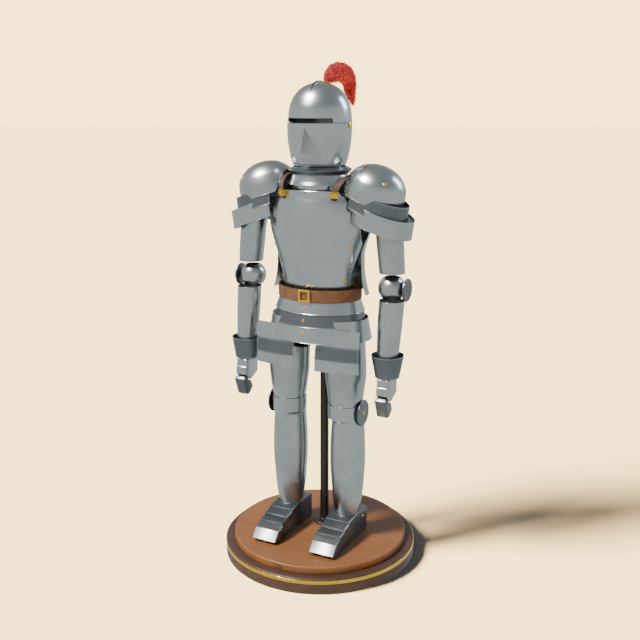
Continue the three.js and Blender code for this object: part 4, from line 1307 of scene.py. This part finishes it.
def rivet_tree():
    """A domed head, on a thin washer, on every point: it faces the point's own way."""
    tree, given, output = node_group(
        "rivets", ("NodeSocketMaterial", "Finish", None), ("NodeSocketFloat", "Flatness", 0.55))
    facing = add_node(tree, "GeometryNodeInputNamedAttribute", {"Name": "facing"},
                      data_type="FLOAT_VECTOR").outputs["Attribute"]
    size = add_node(tree, "GeometryNodeInputNamedAttribute", {"Name": "size"},
                    data_type="FLOAT").outputs["Attribute"]
    head = add_node(tree, "GeometryNodeMeshUVSphere", {"Segments": 20, "Rings": 12, "Radius": 1.0})
    shape = add_node(tree, "ShaderNodeCombineXYZ", {"X": 1.0, "Y": 1.0, "Z": given["Flatness"]})
    flat = add_node(tree, "GeometryNodeTransform", {"Geometry": head, "Scale": shape})
    washer = add_node(tree, "GeometryNodeMeshCylinder", {
        "Vertices": 20, "Radius": 1.25, "Depth": 0.16})
    both = add_node(tree, "GeometryNodeJoinGeometry", {"Geometry": flat})
    tree.links.new(washer.outputs["Mesh"], both.inputs["Geometry"])
    turned = add_node(tree, "FunctionNodeAlignRotationToVector", {"Vector": facing}, axis="Z")
    heads = add_node(tree, "GeometryNodeInstanceOnPoints", {
        "Points": given["Geometry"], "Instance": both, "Rotation": turned, "Scale": size})
    real = add_node(tree, "GeometryNodeRealizeInstances", {"Geometry": heads})
    done = add_node(tree, "GeometryNodeSetMaterial", {
        "Geometry": real, "Material": given["Finish"]})
    tree.links.new(done.outputs["Geometry"], output.inputs["Geometry"])
    return tree


def barb_tree():
    """Feather barbs over the core: each leans from the surface towards the way the plume lies."""
    tree, given, output = node_group(
        "barbs", ("NodeSocketMaterial", "Finish", None), ("NodeSocketObject", "Barb", None),
        ("NodeSocketFloat", "Density", BARBS_PER_M2), ("NodeSocketFloat", "Lift", 0.55),
        ("NodeSocketInt", "Seed", 7))
    spread = add_node(tree, "GeometryNodeDistributePointsOnFaces", {
        "Mesh": given["Geometry"], "Density": given["Density"], "Seed": given["Seed"]})
    flow = add_node(tree, "GeometryNodeInputNamedAttribute", {"Name": "flow"},
                    data_type="FLOAT_VECTOR").outputs["Attribute"]
    lifted = add_node(tree, "ShaderNodeVectorMath", {
        0: spread.outputs["Normal"], "Scale": given["Lift"]}, operation="SCALE").outputs["Vector"]
    stray = add_node(tree, "FunctionNodeRandomValue", {
        "Min": (-0.4, -0.4, -0.4), "Max": (0.4, 0.4, 0.4), "Seed": given["Seed"]},
        data_type="FLOAT_VECTOR").outputs["Value"]
    lean = add_node(tree, "ShaderNodeVectorMath", {0: flow, 1: lifted}, operation="ADD")
    lean = add_node(tree, "ShaderNodeVectorMath", {0: lean, 1: stray}, operation="ADD")
    turned = add_node(tree, "FunctionNodeAlignRotationToVector", {"Vector": lean}, axis="Z")
    roll = add_node(tree, "FunctionNodeRandomValue", {
        LEAST: 0.0, MOST: 6.283, "Seed": given["Seed"]}, data_type="FLOAT").outputs[DRAWN]
    spin = add_node(tree, "FunctionNodeAxisAngleToRotation", {"Axis": (0, 0, 1), "Angle": roll})
    both = add_node(tree, "FunctionNodeRotateRotation", {
        "Rotation": turned, "Rotate By": spin}, rotation_space="LOCAL")
    size = add_node(tree, "FunctionNodeRandomValue", {
        LEAST: 0.55, MOST: 1.25, "Seed": given["Seed"]}, data_type="FLOAT").outputs[DRAWN]
    barb = add_node(tree, "GeometryNodeObjectInfo", {"Object": given["Barb"]})
    barbs = add_node(tree, "GeometryNodeInstanceOnPoints", {
        "Points": spread, "Instance": barb.outputs["Geometry"], "Rotation": both,
        "Scale": size})
    real = add_node(tree, "GeometryNodeRealizeInstances", {"Geometry": barbs})
    joined = add_node(tree, "GeometryNodeJoinGeometry", {"Geometry": given["Geometry"]})
    tree.links.new(real.outputs["Geometry"], joined.inputs["Geometry"])
    done = add_node(tree, "GeometryNodeSetMaterial", {
        "Geometry": joined, "Material": given["Finish"]})
    tree.links.new(done.outputs["Geometry"], output.inputs["Geometry"])
    return tree


def barb_mesh():
    """One curled barb: a thin three-sided blade with its tip turned over."""
    length, width, curl, thick = BARB.values()
    verts, tips = [], []
    for t in np.linspace(0, 1, 5)[:-1]:
        half = width / 2 * (1 - t) ** 0.6
        bend = curl * t * t
        verts += [(-half, bend, length * t), (half, bend, length * t),
                  (0, bend + thick, length * t)]
        tips += [t] * 3
    verts.append((0, 3.4, length * 0.93))
    tips.append(1.0)
    faces = []
    for k in range(3):
        for j in range(3):
            n = (j + 1) % 3
            faces.append((3 * k + j, 3 * k + n, 3 * k + 3 + n, 3 * k + 3 + j))
    faces += [(9, 10, 12), (10, 11, 12), (11, 9, 12)]
    mesh = bpy.data.meshes.new("barb")
    mesh.from_pydata([tuple(Vector(v) * MM) for v in verts], [], faces)
    # How far along the barb each point lies. The feather finish paints shade from it, darkest at
    # the root.
    layer = mesh.attributes.new("barb", "FLOAT", "POINT")
    layer.data.foreach_set("value", np.array(tips, "f"))
    return mesh


def build_plume():
    """The feathers on their core, and the brass socket on the helmet's crown."""
    rings, flow = plume_core()
    faces = tube_part(rings)[1]
    mesh = bpy.data.meshes.new("plume_core")
    mesh.from_pydata([tuple(Vector(v) * MM) for v in rings.reshape(-1, 3)], [], faces)
    layer = mesh.attributes.new("flow", "FLOAT_VECTOR", "POINT")
    layer.data.foreach_set("vector", np.array(flow, "f").ravel())
    # The core gets 0.1 along the barb, so the feather finish paints it almost fully in shade.
    layer = mesh.attributes.new("barb", "FLOAT", "POINT")
    layer.data.foreach_set("value", np.full(len(flow), 0.1, "f"))
    barb = bpy.data.objects.new("barb", barb_mesh())
    bpy.context.scene.collection.objects.link(barb)
    plume = grow(barb_tree(), mesh, "plume", "plume", {
        "Finish": FEATHER, "Barb": barb, "Density": BARBS_PER_M2, "Lift": 0.55, "Seed": 7})
    bpy.data.objects.remove(barb)
    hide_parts("plume")
    socket = turned_part(rounded(SOCKET, 0.7), SOCKET_PLACE, (0, 0, 1))
    piece("plume_socket", closed_shape([socket]), BRASS, "brass")


# ------------------------------------------------------------------ rivets
def on_oval(rows, z, angle):
    """Point and outward direction on a table's surface at a height and an angle."""
    s = fine_sections(rows, 200)
    order = np.argsort(s["z"])
    at = {key: np.array([np.interp(h, s["z"][order], value[order]) for h in (z - 2, z, z + 2)])
          for key, value in s.items()}
    at["start"], at["end"] = np.full(3, angle - 2.0), np.full(3, angle + 2.0)
    grid = oval_grid(at, 2)
    normal = np.cross(grid[1, 2] - grid[1, 0], grid[2, 1] - grid[0, 1])
    return grid[1, 1], normal / np.linalg.norm(normal)


# Radius, height and degrees round from the front, or place and facing, for the left of each pair.
BREAST_RIVETS = [(6.0, 1276, 63), (6.0, 1149, 62)]
FAULD_RIVETS = [(4.6, 1050), (4.6, 1001), (4.6, 952)]
SIDE_RIVETS = {
    "pauldron": (7.5, (296, -75, 1520), (0.62, -0.62, 0.48)),
    "knee disc": (6.5, (201, -18, 624), (1, 0, 0)),
    "heel": (5.5, (181.4, 30, 160), (1, 0, 0)),
}


def build_rivets():
    """The brass rivet heads, all one piece."""
    found = []
    for side in (-1, 1):
        for size, z, angle in BREAST_RIVETS:
            found.append((*on_oval(BREAST, z, side * angle), size))
        for size, (x, y, z), (across, forward, up) in SIDE_RIVETS.values():
            found.append(((side * x, y, z), (side * across, forward, up), size))
    for rows, (size, z) in zip(FAULD, FAULD_RIVETS):
        found.append((*on_oval(rows, z, 0), size))
    points, facing, size = zip(*found)
    mesh = points_mesh("rivet_points", points, facing=np.array(facing, float),
                       size=np.array(size) * MM)
    grow(rivet_tree(), mesh, "rivets", "brass", {"Finish": BRASS, "Flatness": 0.55})


# ------------------------------------------------------------------ floor, light and camera
VIEW = Vector((-0.455, 0.890, 0)).normalized()      # the way the camera looks, on the ground
FLOOR, FLOOR_DARK = 0x807E7B, 0x7A7976              # grey paper that the floor lamp turns cream
WALL_GLOW, WALL_STRENGTH = 0xFFD98B, 5.5
STUDIO_LOW, STUDIO_HIGH = 0xDADFDF, 0x999EA2
MIDDLE = Vector((0, 0, 1.1))                        # every lamp faces the suit's middle
CAMERA_AT = Vector((1.5444, -3.0232, 1.8152))
CAMERA_AIM = Vector((0, 0, 0.9726))


def stage_sheet(name, corners, material):
    """A flat sheet that isn't part of the suit, unseen in the plates."""
    mesh = bpy.data.meshes.new(name)
    mesh.from_pydata([tuple(corner) for corner in corners], [], [(0, 1, 2, 3)])
    mesh.materials.append(material)
    sheet = bpy.data.objects.new(name, mesh)
    bpy.context.scene.collection.objects.link(sheet)
    sheet.visible_glossy = False
    sheet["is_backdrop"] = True
    return sheet


def build_floor():
    """A wide matt paper floor, mottled very faintly every 400 mm."""
    material, tree, coords = start_material("matt_paper_floor")
    fibre = add_node(tree, "ShaderNodeTexNoise", {
        "Vector": coords, "Scale": per_mm(400), "Detail": 3.0})
    mottle = add_node(tree, "ShaderNodeMapRange", {
        "Value": fibre, "From Min": 0.3, "From Max": 0.7})
    close_material(tree, {
        "Base Color": coated(tree, FLOOR, (mottle, 0.12, FLOOR_DARK)), "Roughness": 0.95,
        "Specular IOR Level": 0.05})
    reach, under = 90, -0.0005
    return stage_sheet("floor", [(-reach, -reach, under), (reach, -reach, under),
                                 (reach, reach, under), (-reach, reach, under)], material)


def build_backdrop():
    """A far cream wall behind the figure that glows as brightly as the floor."""
    material, tree, _ = start_material("lit_cream_wall")
    close_material(tree, {
        "Base Color": colour(0x000000), "Emission Color": colour(WALL_GLOW),
        "Emission Strength": WALL_STRENGTH})
    away, half, low, high = 60, 80, -1, 70
    across = VIEW.cross(Vector((0, 0, 1)))
    wall = stage_sheet("backdrop", [
        VIEW * away + across * side + Vector((0, 0, height))
        for side, height in ((-half, low), (half, low), (half, high), (-half, high))], material)
    wall.visible_diffuse = False


def build_world():
    """A dim, even studio: brighter low down, darker overhead."""
    world = bpy.context.scene.world or bpy.data.worlds.new("studio")
    bpy.context.scene.world = world
    world.use_nodes = True
    tree = world.node_tree
    tree.nodes.clear()
    way = add_node(tree, "ShaderNodeTexCoord").outputs["Generated"]
    height = add_node(tree, "ShaderNodeSeparateXYZ", {"Vector": way}).outputs["Z"]
    rise = add_node(tree, "ShaderNodeMapRange", {
        "Value": height, "From Min": 0.15, "From Max": 0.6}, interpolation_type="SMOOTHSTEP")
    sky = add_node(tree, "ShaderNodeBackground", {
        "Color": coated(tree, STUDIO_LOW, (rise, 1.0, STUDIO_HIGH)), "Strength": 1.0})
    add_node(tree, "ShaderNodeOutputWorld", {"Surface": sky})


def face_towards(thing, at, aim):
    """Puts a lamp or the camera in the scene, facing a point."""
    thing.location = at
    thing.rotation_euler = (aim - thing.location).to_track_quat("-Z", "Y").to_euler()
    bpy.context.scene.collection.objects.link(thing)


def add_lamp(name, kind, at, power, tint, floor, lights_floor=False, **shape):
    """A lamp that lights either the floor alone or everything but the floor."""
    light = bpy.data.lights.new(name, kind)
    light.energy = power
    light.color = colour(tint)[:3]
    for key, value in shape.items():
        setattr(light, key, value)
    lamp = bpy.data.objects.new(name, light)
    face_towards(lamp, at, MIDDLE)
    reached = bpy.data.collections.new(f"{name}_reach")
    reached.objects.link(floor)
    lamp.light_linking.receiver_collection = reached
    state = "INCLUDE" if lights_floor else "EXCLUDE"
    reached.collection_objects[0].light_linking.link_state = state


def build_stage():
    """The floor and wall, four lamps and the camera."""
    floor = build_floor()
    build_backdrop()
    build_world()
    add_lamp("floor_key", "SUN", (-5.07, -4.73, 7.2), 110, 0xFFDB95, floor, True,
             angle=math.radians(18))
    add_lamp("key", "SUN", (-3.9, -4.5, 9.8), 8, 0xFFF8EE, floor, angle=math.radians(11))
    add_lamp("softbox", "AREA", (-1.5, -2.6, 4.6), 60, 0xFFFFFF, floor, shape="RECTANGLE",
             size=1.5, size_y=1.3)
    add_lamp("strip", "AREA", (2.4, 2.6, 3.2), 60, 0xDCE8FF, floor, shape="RECTANGLE",
             size=0.6, size_y=1.6)
    camera = bpy.data.objects.new("camera", bpy.data.cameras.new("camera"))
    camera.data.lens = 50
    camera.data.sensor_width = 36
    face_towards(camera, CAMERA_AT, CAMERA_AIM)
    bpy.context.scene.camera = camera


build_stand()
build_helmet()
build_plume()
build_gorget()
build_cuirass()
build_straps()
build_skirt()
build_shoulders()
build_arms()
build_legs()
build_rivets()
build_stage()

boxes = (cad_bounds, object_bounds())
[[[float(v) for v in corner] for corner in box] for box in boxes]
